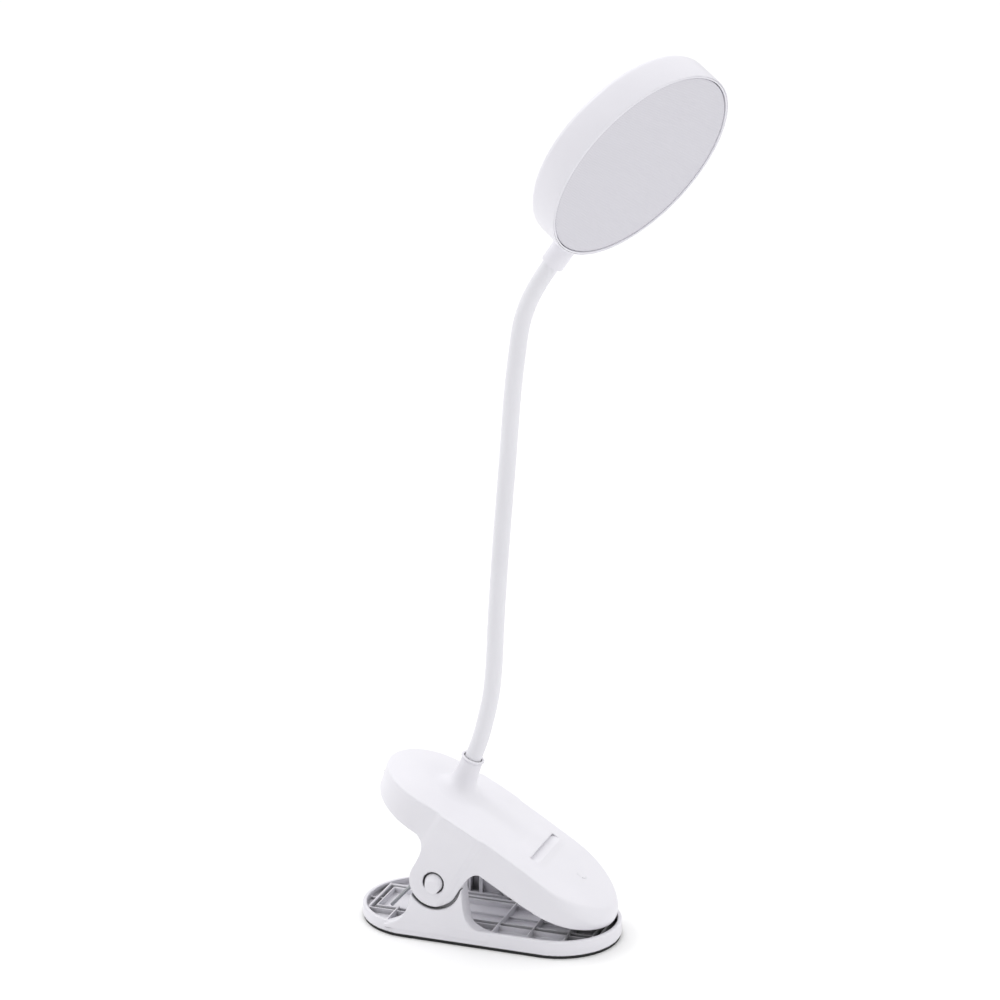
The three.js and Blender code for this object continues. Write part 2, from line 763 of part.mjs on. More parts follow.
function sleevePiece(from, to) {
  const first = onNeck(from);
  const last = onNeck(to);
  const outside = along(from + 4, to - 5, 5, NECK.radius);
  const bore = along(to - 4, from + 5, 3, NECK.boreRadius);
  return ringedTube([...cupRings(first), ...outside, ...domeRings(last), ...bore], 12, true);
}

function topSleevePiece(from, to) {
  const first = onNeck(from);
  const outside = along(from + 4, to, 6, NECK.radius);
  const bore = along(to, from + 5, 4, NECK.boreRadius);
  return ringedTube([...cupRings(first), ...outside, ...bore], 12, true);
}

function rootPiece(from, to) {
  const last = onNeck(to);
  const outside = along(from, to - 5, 3, NECK.radius);
  return ringedTube([...outside, ...domeRings(last), ...along(to - 4, from, 2, NECK.boreRadius)], 12, true);
}

function coilPiece(from, to) {
  return ringedTube(along(from + 5.5, to - 4.5, 5, NECK.coilRadius), 8, false);
}

// ---------- head ----------
function headShell() {
  const { radius, backRadius, thickness } = HEAD;
  const back = -thickness / 2;
  const front = thickness / 2;
  const rim = HEAD.rim;
  const profile = [
    [0, back],
    [backRadius - 3.2, back],
    [backRadius - 1.1, back + 0.75],
    [backRadius - 0.3, back + 2.1],
    [backRadius, back + 3.8],
    [radius, front - 0.3],
    [radius - 0.25, front],
    [radius - HEAD.lip, front],
    [radius - HEAD.lip, rim - 1],
    [radius - 2.7, rim - 1],
    [radius - 3.1, back + HEAD.wall],
    [0, back + HEAD.wall],
  ];
  const post = (x, y) => bar("z", 3.2, back + 1, BOARD.low - GAP, x, y, 14);
  const places = HEAD_SCREW_PLACES;
  const cup = join(turned(profile, 48), ...places.map(([x, y]) => post(x, y)));
  const drills = places.map(([x, y]) => bar("z", 1.25, back + 1, 0, x, y, 10));
  return cut(cup, ...drills, bar("y", 1.8, -60, -40));
}

function disc(radius, low, high, holes, steps) {
  return cut(bar("z", radius, low, high, 0, 0, steps), ...holes);
}

function bezelRing() {
  const { radius, rim, thickness } = HEAD;
  const front = thickness / 2;
  const low = rim - 0.9;
  const outer = radius - HEAD.lip - 0.1;
  const inner = radius - 1.35;
  const points = [
    [inner, low],
    [outer, low],
    [outer, front - 0.3],
    [outer - 0.2, front - 0.1],
    [inner, front - 0.1],
    [inner, low],
  ];
  return turned(points, 48);
}

function diffuser() {
  const { radius, rim, thickness } = HEAD;
  const front = thickness / 2 - 0.1;
  const edge = radius - 1.75;
  const low = rim - 0.9;
  const crown = [
    [0, low],
    [edge, low],
    [edge, front - 0.3],
    [edge - 0.4, front - 0.05],
    [0, front],
  ];
  return turned(crown, 48);
}

function placesOnCircle(count, circle, first = 0) {
  return Array.from({ length: count }, (_, i) => {
    const a = first + (i / count) * 2 * Math.PI;
    return [circle * Math.cos(a), circle * Math.sin(a)];
  });
}

function collar() {
  const { radius, low, high, bore, boreDepth } = COLLAR;
  const body = bar("y", radius, -low, -high, 0, 0, 20);
  const shellRoom = bar("z", HEAD.radius + GAP, -20, 20, 0, 0, 72);
  return cut(body, shellRoom, bar("y", bore, -low - 5, -low + boreDepth, 0, 0, 20), bar("y", 1.8, -70, -40));
}

function headLead() {
  const line = new THREE.CatmullRomCurve3([
    new THREE.Vector3(0, -53.2, 0),
    new THREE.Vector3(0, -47, 0),
    new THREE.Vector3(0, -43, -0.8),
    new THREE.Vector3(0, -38, -2.1),
    new THREE.Vector3(3, -33, -2.3),
  ]);
  return roundWire(line, 0.9, 3, 8);
}

// ---------- assembly ----------
const jaw = new THREE.Group();
jaw.position.set(JAW.x, 0, JAW.z);
jaw.rotation.y = JAW.tilt;

const head = new THREE.Group();
const collarWay = new THREE.Vector3(-0.557, 0, -0.83).normalize();
const headUp = collarWay.clone().negate();
headUp.addScaledVector(HEAD_NORMAL, -headUp.dot(HEAD_NORMAL)).normalize();
const headSide = new THREE.Vector3().crossVectors(headUp, HEAD_NORMAL);
head.position.set(HEAD.x, 0, HEAD.z);
head.quaternion.setFromRotationMatrix(new THREE.Matrix4().makeBasis(headSide, headUp, HEAD_NORMAL));

lamp.add(jaw, head);

add(lamp, "rubber_sole", "black_rubber", rubberSole());
add(lamp, "lower_jaw", "white_plastic", lowerJaw());
add(lamp, "pivot_pin", "steel", bar("y", PIN_RADIUS, -27.6, 27.6, PIVOT.x, PIVOT.z));
add(lamp, "pivot_cap_right", "white_plastic", pivotCap(-1));
add(lamp, "pivot_cap_left", "white_plastic", pivotCap(1));
add(lamp, "torsion_spring", "steel", roundWire(springLine(), SPRING.wire, 3, 88));

add(jaw, "upper_shell", "white_plastic", upperShell());
add(jaw, "under_plate", "white_plastic", underPlate());
add(jaw, "grip_pad", "black_rubber", gripPad());
SCREWS.forEach((place, i) => add(jaw, `shell_screw_${i + 1}`, "steel", shellScrew(place)));
add(jaw, "neck_nut", "steel", neckNut());
add(jaw, "battery_cell", "battery", box(-19, 30, -17, 17, -13.6, -7.4));
add(jaw, "control_board", "board", box(33, 53, -12, 12, -10.6, -9.4));
add(jaw, "touch_spring", "steel", touchSpring());
add(jaw, "charge_board", "board", box(-58.6, -49.5, -8, 8, -15.2, -14.1));
add(jaw, "charge_port", "steel", chargePort());
add(jaw, "status_light", "frosted", bar("x", STATUS_RADIUS.lens, -61.6, -56.5, STATUS.v, STATUS.w, 10));
for (const side of [-1, 1]) {
  const name = side < 0 ? "battery_lead_red" : "battery_lead_black";
  add(jaw, name, side < 0 ? "red_lead" : "black_lead", batteryLead(side));
}

add(lamp, "neck_root", "steel", rootPiece(-17, JOINTS[0]));
for (let i = 0; i < NECK.pieces; i += 1) {
  const last = i + 1 === NECK.pieces;
  const from = JOINTS[i];
  const to = last ? NECK_END : JOINTS[i + 1];
  add(lamp, `neck_sleeve_${i + 1}`, "white_sleeve", last ? topSleevePiece(from, to) : sleevePiece(from, to));
  add(lamp, `neck_coil_${i + 1}`, "steel", coilPiece(from, to));
}

add(head, "head_collar", "white_plastic", collar());
add(head, "head_shell", "white_plastic", headShell());
add(head, "bezel_ring", "white_plastic", bezelRing());
add(head, "diffuser", "frosted", diffuser());
const boardHoles = HEAD_SCREW_PLACES.map(([x, y]) => bar("z", 1.4, -10, 0, x, y, 10));
add(head, "led_board", "board", disc(BOARD.radius, BOARD.low, BOARD.high, boardHoles, 40));
placesOnCircle(LEDS.count, LEDS.circle).forEach(([x, y], i) => {
  add(head, `led_${i + 1}`, "led", box(x - 1.75, x + 1.75, y - 1.4, y + 1.4, -3.3, -2.5));
});
HEAD_SCREW_PLACES.forEach(([x, y], i) => {
  const screwHead = bar("z", 2.4, BOARD.high + GAP, BOARD.high + 1.5, x, y, 12);
  const shank = bar("z", 1.05, BOARD.low - 1.7, BOARD.high + 0.5, x, y, 8);
  add(head, `head_screw_${i + 1}`, "steel", join(screwHead, shank));
});
add(head, "head_lead", "black_lead", headLead());

export default lamp;
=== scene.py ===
"""The looks of a clip-on reading lamp: a sprung clip on a flat base, a bendable neck and a round head.

Moulded shells are made as distance fields in millimetres, skinned with quads, and drawn exactly onto
the field, so that every rounded edge and fillet is real geometry. Turned and swept pieces are made
from rings of points.
"""

import json
import math

import bpy
import numpy as np
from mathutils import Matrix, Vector


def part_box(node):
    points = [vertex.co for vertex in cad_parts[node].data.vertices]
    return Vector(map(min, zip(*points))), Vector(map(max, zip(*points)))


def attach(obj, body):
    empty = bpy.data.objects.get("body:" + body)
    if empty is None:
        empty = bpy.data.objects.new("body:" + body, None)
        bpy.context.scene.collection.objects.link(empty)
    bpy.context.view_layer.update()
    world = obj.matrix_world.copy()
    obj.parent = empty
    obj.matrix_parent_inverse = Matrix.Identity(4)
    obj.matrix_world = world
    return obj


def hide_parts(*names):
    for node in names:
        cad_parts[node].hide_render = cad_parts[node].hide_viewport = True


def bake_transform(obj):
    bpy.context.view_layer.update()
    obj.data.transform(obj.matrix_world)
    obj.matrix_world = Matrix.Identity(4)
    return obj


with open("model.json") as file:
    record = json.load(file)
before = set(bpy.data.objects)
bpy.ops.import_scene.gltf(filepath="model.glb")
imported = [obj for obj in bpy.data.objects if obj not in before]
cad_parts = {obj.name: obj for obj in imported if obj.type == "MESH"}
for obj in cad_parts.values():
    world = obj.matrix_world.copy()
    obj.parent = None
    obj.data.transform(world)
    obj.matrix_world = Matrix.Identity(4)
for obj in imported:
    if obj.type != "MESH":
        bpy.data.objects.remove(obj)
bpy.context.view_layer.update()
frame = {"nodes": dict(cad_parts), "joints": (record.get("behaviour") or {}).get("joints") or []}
MM = 0.001

joints = {j["name"]: j for j in frame["joints"]}


def joint_place(name):
    """A joint's position in millimetres and its axis."""
    joint = joints[name]
    return np.array(joint["pos_m"]) / MM, np.array(joint["axis"], float)


def box_mm(node):
    low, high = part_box(node)
    return np.array(low) / MM, np.array(high) / MM


PIVOT, _ = joint_place("jaw_open")
PIVOT_X, PIVOT_Z = PIVOT[0], PIVOT[2]


# ---------- meshes ----------
def add_mesh(name, points, faces, normals=None):
    """A smooth mesh object from points in millimetres."""
    mesh = bpy.data.meshes.new(name)
    mesh.from_pydata(np.asarray(points, float) * MM, [], faces)
    mesh.update()
    mesh.shade_smooth()
    if normals is not None:
        mesh.normals_split_custom_set_from_vertices(normals)
    piece = bpy.data.objects.new(name, mesh)
    bpy.context.scene.collection.objects.link(piece)
    return piece


def finish_piece(piece, body, material, replaced):
    """Gives a rigid piece its body and its material, and hides the CAD node that it stands for."""
    piece.data.materials.append(material)
    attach(piece, body)
    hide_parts(replaced)


def sharpen(piece, degrees):
    """Splits the shading wherever two faces meet at more than this angle."""
    piece.data.set_sharp_from_angle(angle=math.radians(degrees))


# ---------- distance fields ----------
def smooth_step(x, start, end):
    t = np.clip((x - start) / (end - start), 0, 1)
    return t * t * (3 - 2 * t)


def round_and(a, b, radius):
    """The part inside both a and b, with the edge between them rounded."""
    outside = np.hypot(np.maximum(a + radius, 0), np.maximum(b + radius, 0))
    return np.minimum(np.maximum(a, b), -radius) + outside


def round_or(a, b, radius):
    """The part inside a or b, with a fillet in the corner between them."""
    return -round_and(-a, -b, radius)


def soft_or(a, b, reach):
    """a and b flowing into each other over a long soft blend."""
    overlap = np.maximum(reach - np.abs(a - b), 0) / reach
    return np.minimum(a, b) - overlap * overlap * reach / 4


def ellipse(x, y, along, across):
    near = np.hypot(x / along, y / across)
    slope = np.hypot(x / along**2, y / across**2)
    return near * (near - 1) / np.maximum(slope, 1e-6)


def rectangle(x, y, half_x, half_y):
    dx = np.abs(x) - half_x
    dy = np.abs(y) - half_y
    return np.hypot(np.maximum(dx, 0), np.maximum(dy, 0)) + np.minimum(np.maximum(dx, dy), 0)


def stadium(x, y, length, width):
    straight = (length - width) / 2
    return np.hypot(np.maximum(np.abs(x) - straight, 0), y) - width / 2


def polygon(x, y, corners):
    """Signed distance to a closed outline, negative inside."""
    x, y = np.broadcast_arrays(x, y)
    nearest = np.full(x.shape, 1e9)
    inside = np.zeros(x.shape, bool)
    for (ax, ay), (bx, by) in zip(corners, corners[1:] + corners[:1]):
        ex, ey = bx - ax, by - ay
        if math.hypot(ex, ey) < 1e-6:
            continue
        px, py = x - ax, y - ay
        t = np.clip((px * ex + py * ey) / (ex * ex + ey * ey), 0, 1)
        nearest = np.minimum(nearest, (px - t * ex) ** 2 + (py - t * ey) ** 2)
        crosses = (ay > y) != (by > y)
        if ey != 0:
            inside ^= crosses & (px < ex * (py / ey))
    return np.where(inside, -1, 1) * np.sqrt(nearest)


class Outline:
    """An outline drawn point by point, with straight runs, Bezier curves and arcs."""

    def __init__(self, x, y):
        self.corners = [(x, y)]

    def line(self, x, y):
        self.corners.append((x, y))
        return self

    def curve(self, x1, y1, x2, y2, x3, y3, steps=10):
        x0, y0 = self.corners[-1]
        for i in range(1, steps + 1):
            t = i / steps
            a, b, c, d = (1 - t) ** 3, 3 * t * (1 - t) ** 2, 3 * t * t * (1 - t), t**3
            self.corners.append((a * x0 + b * x1 + c * x2 + d * x3, a * y0 + b * y1 + c * y2 + d * y3))
        return self

    def arc(self, x, y, radius, start, end, steps=24):
        for i in range(steps + 1):
            angle = start + (end - start) * i / steps
            self.corners.append((x + radius * math.cos(angle), y + radius * math.sin(angle)))
        return self

    def distance(self, x, y):
        return polygon(x, y, self.corners)


def grid_net(field, low, high, cell):
    """Quads along the zero surface of a field, one vertex in each cell that the surface crosses."""
    counts = [int(math.ceil((b - a) / cell)) + 1 for a, b in zip(low, high)]
    axes = [low[i] + cell * np.arange(counts[i]) for i in range(3)]
    x, y, z = np.meshgrid(*axes, indexing="ij", sparse=True)
    value = np.broadcast_to(field(x, y, z), counts)
    inside = value < 0
    cells = np.array(counts) - 1
    corner_ids, corner_points, quads = [], [], []
    for axis in range(3):
        first, second = [slice(None)] * 3, [slice(None)] * 3
        first[axis], second[axis] = slice(None, -1), slice(1, None)
        at = np.argwhere(inside[tuple(first)] != inside[tuple(second)])
        b, c = (axis + 1) % 3, (axis + 2) % 3
        usable = (at[:, b] > 0) & (at[:, c] > 0) & (at[:, b] < cells[b]) & (at[:, c] < cells[c])
        at = at[usable]
        beyond = at.copy()
        beyond[:, axis] += 1
        start, end = value[tuple(at.T)], value[tuple(beyond.T)]
        point = at.astype(float)
        point[:, axis] += start / (start - end)
        loop = []
        for step_b, step_c in ((-1, -1), (0, -1), (0, 0), (-1, 0)):
            near = at.copy()
            near[:, b] += step_b
            near[:, c] += step_c
            ids = (near[:, 0] * cells[1] + near[:, 1]) * cells[2] + near[:, 2]
            corner_ids.append(ids)
            corner_points.append(point)
            loop.append(ids)
        loop = np.stack(loop, 1)
        quads.append(np.where((start < 0)[:, None], loop, loop[:, ::-1]))
    ids, place = np.unique(np.concatenate(corner_ids), return_inverse=True)
    shares = np.bincount(place)
    points = np.concatenate(corner_points)
    averaged = [np.bincount(place, points[:, i]) / shares for i in range(3)]
    vertices = np.stack(averaged, 1) * cell + np.array(low)
    return vertices, np.searchsorted(ids, np.concatenate(quads))


def slopes(field, points, reach=0.02):
    result = []
    for axis in range(3):
        step = np.zeros(3)
        step[axis] = reach
        ahead, behind = points + step, points - step
        result.append((field(*ahead.T) - field(*behind.T)) / (2 * reach))
    return np.stack(result, 1)


def skin(name, field, low, high, cell, place=None):
    """A piece whose surface is where the field is zero. place turns its points into the frame's."""
    points, quads = grid_net(field, low, high, cell)
    for _ in range(3):
        slope = slopes(field, points)
        size = np.maximum((slope**2).sum(1), 0.05)
        move = -slope * (field(*points.T) / size)[:, None]
        length = np.linalg.norm(move, axis=1, keepdims=True)
        points = points + move * np.minimum(1, 0.4 * cell / np.maximum(length, 1e-9))
    normals = slopes(field, points, 0.08)
    normals /= np.maximum(np.linalg.norm(normals, axis=1, keepdims=True), 1e-9)
    if place is not None:
        points = place(points)
        normals = place(normals, turn_only=True)
    return add_mesh(name, points, quads.tolist(), normals)


# ---------- rings ----------
def ring_mesh(name, rings, loop=False):
    """Skins rings of equal counts of points. The ends are closed with fans about their centres, or
    joined to each other where the rings make a loop."""
    count = len(rings[0])
    points = [p for ring in rings for p in ring]
    faces = []
    bands = len(rings) if loop else len(rings) - 1
    for r in range(bands):
        a, b = r * count, ((r + 1) % len(rings)) * count
        for i in range(count):
            j = (i + 1) % count
            faces.append((a + i, a + j, b + j, b + i))
    if not loop:
        for start, flip in ((0, True), ((len(rings) - 1) * count, False)):
            centre = len(points)
            points.append(tuple(np.mean(rings[0 if flip else -1], axis=0)))
            for i in range(count):
                j = (i + 1) % count
                corners = (start + i, start + j, centre)
                faces.append(corners[::-1] if flip else corners)
    return add_mesh(name, points, faces)


def turned(name, profile, place, steps=160, loop=False):
    """A lathe piece: profile points of (radius, height), turned about place's own Z."""
    rings = []
    for radius, height in profile:
        angles = np.arange(steps) * 2 * math.pi / steps
        ring = np.stack([radius * np.cos(angles), radius * np.sin(angles), np.full(steps, height)], 1)
        rings.append(place(ring))
    return ring_mesh(name, rings, loop=loop)


def arc_points(centre_r, centre_z, radius, start, end, steps=5):
    """Points of a rounded edge in a lathe profile, angles in degrees."""
    points = []
    for i in range(steps + 1):
        a = math.radians(start + (end - start) * i / steps)
        points.append((centre_r + radius * math.cos(a), centre_z + radius * math.sin(a)))
    return points


# ---------- materials ----------
def new_material(name):
    made = bpy.data.materials.new(name)
    made.use_nodes = True
    nodes = made.node_tree.nodes
    return made, nodes, made.node_tree.links, nodes["Principled BSDF"]


def shade_crevices(nodes, links, colour, reach=0.012, shut=0.12, clear=0.5, darkest=0.14):
    """Painted shade: the colour, darkened where the surface lies deep between ribs or in a narrow gap,
    where shade falls.
    """
    openness = nodes.new("ShaderNodeAmbientOcclusion")
    openness.samples = 8
    openness.inputs["Distance"].default_value = reach
    level = nodes.new("ShaderNodeMapRange")
    level.inputs["From Min"].default_value = shut
    level.inputs["From Max"].default_value = clear
    level.inputs["To Min"].default_value = darkest
    level.inputs["To Max"].default_value = 1.0
    links.new(openness.outputs["AO"], level.inputs["Value"])
    darker = nodes.new("ShaderNodeVectorMath")
    darker.operation = "SCALE"
    links.new(colour, darker.inputs["Vector"])
    links.new(level.outputs["Result"], darker.inputs["Scale"])
    return darker.outputs["Vector"]


def moulded(
    name, colour, roughness, grain=700.0, bump=0.02, drift=0.012, rough_drift=0.06, painted_crevice_shade=False
):
    """Plastic or rubber: a slight drift of tone, uneven gloss and a fine moulded grain, and where asked,
    painted shade that darkens the colour in crevices.
    """
    made, nodes, links, shader = new_material(name)
    place = nodes.new("ShaderNodeTexCoord")
    broad = nodes.new("ShaderNodeTexNoise")
    broad.inputs["Scale"].default_value = 35.0
    broad.inputs["Detail"].default_value = 3.0
    links.new(place.outputs["Object"], broad.inputs["Vector"])
    tone = nodes.new("ShaderNodeValToRGB")
    dark = [max(0.0, c - drift) for c in colour]
    light = [min(1.0, c + drift) for c in colour]
    tone.color_ramp.elements[0].position = 0.3
    tone.color_ramp.elements[0].color = (*dark, 1)
    tone.color_ramp.elements[1].position = 0.7
    tone.color_ramp.elements[1].color = (*light, 1)
    links.new(broad.outputs["Fac"], tone.inputs["Fac"])
    tint = tone.outputs["Color"]
    # Painted shade: where asked, the colour is darkened in crevices and narrow gaps, where shade would
    # fall.
    if painted_crevice_shade:
        tint = shade_crevices(nodes, links, tint)
    links.new(tint, shader.inputs["Base Color"])
    gloss = nodes.new("ShaderNodeMapRange")
    gloss.inputs["To Min"].default_value = roughness - rough_drift
    gloss.inputs["To Max"].default_value = roughness + rough_drift
    links.new(broad.outputs["Fac"], gloss.inputs["Value"])
    links.new(gloss.outputs["Result"], shader.inputs["Roughness"])
    fine = nodes.new("ShaderNodeTexNoise")
    fine.inputs["Scale"].default_value = grain
    fine.inputs["Detail"].default_value = 2.0
    links.new(place.outputs["Object"], fine.inputs["Vector"])
    height = nodes.new("ShaderNodeBump")
    height.inputs["Strength"].default_value = bump
    height.inputs["Distance"].default_value = 0.0004
    links.new(fine.outputs["Fac"], height.inputs["Height"])
    links.new(height.outputs["Normal"], shader.inputs["Normal"])
    return made


def metal(name, colour, roughness, streak=900.0, drift=0.08):
    """Drawn metal with fine streaks."""
    made, nodes, links, shader = new_material(name)
    shader.inputs["Metallic"].default_value = 1.0
    shader.inputs["Base Color"].default_value = (*colour, 1)
    place = nodes.new("ShaderNodeTexCoord")
    noise = nodes.new("ShaderNodeTexNoise")
    noise.inputs["Scale"].default_value = streak
    links.new(place.outputs["Object"], noise.inputs["Vector"])
    gloss = nodes.new("ShaderNodeMapRange")
    gloss.inputs["To Min"].default_value = roughness - drift
    gloss.inputs["To Max"].default_value = roughness + drift
    links.new(noise.outputs["Fac"], gloss.inputs["Value"])
    links.new(gloss.outputs["Result"], shader.inputs["Roughness"])
    height = nodes.new("ShaderNodeBump")
    height.inputs["Strength"].default_value = 0.05
    height.inputs["Distance"].default_value = 0.0002
    links.new(noise.outputs["Fac"], height.inputs["Height"])
    links.new(height.outputs["Normal"], shader.inputs["Normal"])
    return made


def diffuser_material():
    """Frosted plastic with a fine diagonal lattice of moulded ribs, about a millimetre apart."""
    made, nodes, links, shader = new_material("frosted_diffuser")
    place = nodes.new("ShaderNodeTexCoord")
    waves = []
    for turn in (-17, 73):
        spin = nodes.new("ShaderNodeMapping")
        spin.inputs["Rotation"].default_value = (0, 0, math.radians(turn))
        links.new(place.outputs["UV"], spin.inputs["Vector"])
        wave = nodes.new("ShaderNodeTexWave")
        wave.inputs["Scale"].default_value = 3.1
        wave.inputs["Distortion"].default_value = 0.25
        links.new(spin.outputs["Vector"], wave.inputs["Vector"])
        waves.append(wave)
    both = nodes.new("ShaderNodeMath")
    both.operation = "ADD"
    links.new(waves[0].outputs["Fac"], both.inputs[0])
    links.new(waves[1].outputs["Fac"], both.inputs[1])
    tone = nodes.new("ShaderNodeValToRGB")
    tone.color_ramp.elements[0].color = (0.58, 0.57, 0.62, 1)
    tone.color_ramp.elements[1].color = (0.66, 0.65, 0.7, 1)
    half = nodes.new("ShaderNodeMath")
    half.operation = "MULTIPLY"
    half.inputs[1].default_value = 0.5
    links.new(both.outputs["Value"], half.inputs[0])
    links.new(half.outputs["Value"], tone.inputs["Fac"])
    links.new(tone.outputs["Color"], shader.inputs["Base Color"])
    shader.inputs["Roughness"].default_value = 0.5
    height = nodes.new("ShaderNodeBump")
    height.inputs["Strength"].default_value = 0.25
    height.inputs["Distance"].default_value = 0.0003
    links.new(both.outputs["Value"], height.inputs["Height"])
    links.new(height.outputs["Normal"], shader.inputs["Normal"])
    return made


# The white plastic carries painted shade: its colour is darkened in crevices, between ribs and in narrow
# gaps.
WHITE = moulded("white_plastic", (0.775, 0.765, 0.81), 0.42, painted_crevice_shade=True)
HEAD_WHITE = moulded("white_plastic_head", (0.775, 0.765, 0.815), 0.4)
SLEEVE = moulded("white_sleeve", (0.76, 0.755, 0.795), 0.5, grain=1200.0, bump=0.04)
RUBBER = moulded("black_rubber", (0.012, 0.012, 0.013), 0.75, grain=1500.0, bump=0.2, drift=0.004)
FROSTED = diffuser_material()
STEEL = metal("spring_steel", (0.42, 0.43, 0.45), 0.35)
BOARD = moulded("green_board", (0.05, 0.19, 0.09), 0.45, grain=900.0)
CELL = moulded("cell_foil", (0.5, 0.53, 0.57), 0.38, grain=300.0, bump=0.08)
RED_LEAD = moulded("red_lead", (0.45, 0.02, 0.02), 0.5)
BLACK_LEAD = moulded("black_lead", (0.02, 0.02, 0.02), 0.5)
LED = moulded("led_phosphor", (0.85, 0.74, 0.33), 0.35)


# ---------- upper jaw ----------
# The jaw is modelled lying level, with u towards its nose, v across and w up, and then tipped.
JAW_ORIGIN = np.array([9.0, 0.0, 53.0])
JAW_TILT = math.radians(30.5)
COS, SIN = math.cos(JAW_TILT), math.sin(JAW_TILT)


def jaw_to_frame(points, turn_only=False):
    u, v, w = np.asarray(points).T
    turned_points = np.stack([u * COS + w * SIN, v, w * COS - u * SIN], 1)
    return turned_points if turn_only else turned_points + JAW_ORIGIN


def frame_to_jaw(x, z):
    dx, dz = x - JAW_ORIGIN[0], z - JAW_ORIGIN[2]
    return dx * COS - dz * SIN, dx * SIN + dz * COS


NOSE, TAIL, HALF = 67.5, 66.0, 28.4
NOSE_STRETCH = 1.18
TAIL_DRAFT, DRAFT_DEPTH, DRAFT_MOST = 3.0, 15.0, 1.2
EDGE_W, EDGE_FALL_FRONT, EDGE_FALL_REAR = -0.9, 0.0006, 0.0013
CROWN = 2.6
TAIL_CROWN = 0.9
DOME_SCALE = 0.98
UNDERSIDE_W, NOSE_CURL, TAIL_SAG = -16.9, 3.2e-7, 1.6
EDGE_RADIUS, NOSE_SOFTNESS = 0.7, 5.3
FOOT_RADIUS, LEAST_RADIUS = 0.45, 0.3
CAVITY_BOTTOM = -45.0
WALL = 2.0
PIVOT_U, PIVOT_W = frame_to_jaw(PIVOT_X, PIVOT_Z)
EAR_INNER, EAR_RADIUS = 26.7, 12.4
EAR_PROUD = 1.2
PANEL_FRONT, PANEL_STEP, PANEL_REAR = -2.9, 2.4, (-29.5, -25.0)
HOLE_RADIUS = 5.3
LEDGE_U, LEDGE_HALF = 19.0, 16.3
LIP_RISE, LIP_RUN, STEP_DEPTH, RAMP_SLOPE = 0.8, 10.0, 1.1, 0.36
TOUCH_U, TOUCH_RADIUS, TOUCH_RISE, TOUCH_DEPTH = 42.5, 2.7, 0.45, 1.2
SOCKET_RADIUS, SOCKET_BORE = 5.3, 4.3
RING_CENTRE = np.array([-9.1, 0.0, 84.9])
SOCKET_LEAN = math.radians(22)
STEM_SHIFT, STEM_WIDENING, STEM_DEPTH, FLARE_REACH = 0.03, 0.055, 24.0, 9.0
BEAD_RADIUS = 0.55
TAIL_HOLES_W = -12.2
PORT_HALF, PORT_END = (4.9, 2.0), -58.0
LIGHT_V, LIGHT_RADIUS, LIGHT_END = 9.5, 1.25, -54.0


def edge_height(u):
    """Height of the edge round the jaw's top, which falls towards both ends."""
    return EDGE_W - np.where(u > 0, EDGE_FALL_FRONT, EDGE_FALL_REAR) * u * u


def crown_height(u):
    """How far the top's middle stands above its edge."""
    return CROWN + TAIL_CROWN * smooth_step(-u, 15, 50)


def underside_height(u):
    """Height of the wall's lower edge, which curls up at the nose and sinks towards the tail."""
    nose_rise = NOSE_CURL * np.maximum(u, 0) ** 4
    return UNDERSIDE_W + nose_rise - TAIL_SAG * smooth_step(-u, 0, 30)


def pebble_side(u, v, w, inset, proud=0.0):
    """Distance to the upright wall of the jaw's body, which leans in towards its foot at the tail."""
    half = HALF - inset
    nose_start = NOSE - inset - half * NOSE_STRETCH
    tail_start = -TAIL + HALF
    down = np.clip((edge_height(u) - w) / DRAFT_DEPTH, 0, DRAFT_MOST)
    tail_length = TAIL - inset + tail_start - TAIL_DRAFT * down
    nose = ellipse(u - nose_start, v, half * NOSE_STRETCH, half)
    tail = ellipse(u - tail_start, v, tail_length, half)
    middle = np.abs(v) - half - proud
    return np.where(u > nose_start, nose, np.where(u < tail_start, tail, middle))


def top_height(u, v):
    """Height of the jaw's domed top."""
    middle = np.clip(1 + pebble_side(u, v, 50, 0) / HALF, 0, 1)
    return edge_height(u) + crown_height(u) * (1 - middle**2)


def edge_radius(u):
    """Radius of the edge round the jaw's top: crisp along the sides and soft at the nose."""
    return EDGE_RADIUS + NOSE_SOFTNESS * smooth_step(u, 28, 64)


def pebble(u, v, w, inset, bottom, proud=0.0, lift=0.0):
    """The jaw's body, or its cavity where it is inset by the wall."""
    side = pebble_side(u, v, w, inset, proud)
    top = (w - top_height(u, v) - lift + inset) * DOME_SCALE
    radius = np.maximum(edge_radius(u) - inset, LEAST_RADIUS)
    return round_and(round_and(side, top, radius), bottom - w, FOOT_RADIUS)


def ear_outline():
    u, w, r = PIVOT_U, PIVOT_W, EAR_RADIUS
    outline = Outline(u + r - 2.6, -3.5)
    outline.line(u - r - 1.4, -4.5).line(u - r - 6.5, -18.6)
    outline.curve(u - r - 0.9, -21.0, u - r, -24, u - r, w, 14)
    outline.arc(u, w, r, math.pi, 2 * math.pi, 36)
    outline.curve(u + r, -26, u + r - 0.6, -18, u + r + 5.0, -16.6, 14)
    return outline


EAR = ear_outline()


def panel_height(u):
    """The ear's panel stands proud of the wall, with a sloped step at its front."""
    return EAR_PROUD * np.clip((PANEL_FRONT - u) / PANEL_STEP, 0, 1) * smooth_step(u, *PANEL_REAR)


def socket_axis():
    u, w = frame_to_jaw(RING_CENTRE[0], RING_CENTRE[2])
    lean = SOCKET_LEAN - JAW_TILT
    return np.array([u, 0, w]), np.array([math.sin(lean), 0, math.cos(lean)])


def along_socket(u, w):
    """Height along the socket's axis above its ring, and distance ahead of the axis."""
    centre, axis = socket_axis()
    du, dw = u - centre[0], w - centre[2]
    return du * axis[0] + dw * axis[2], du * axis[2] - dw * axis[0]


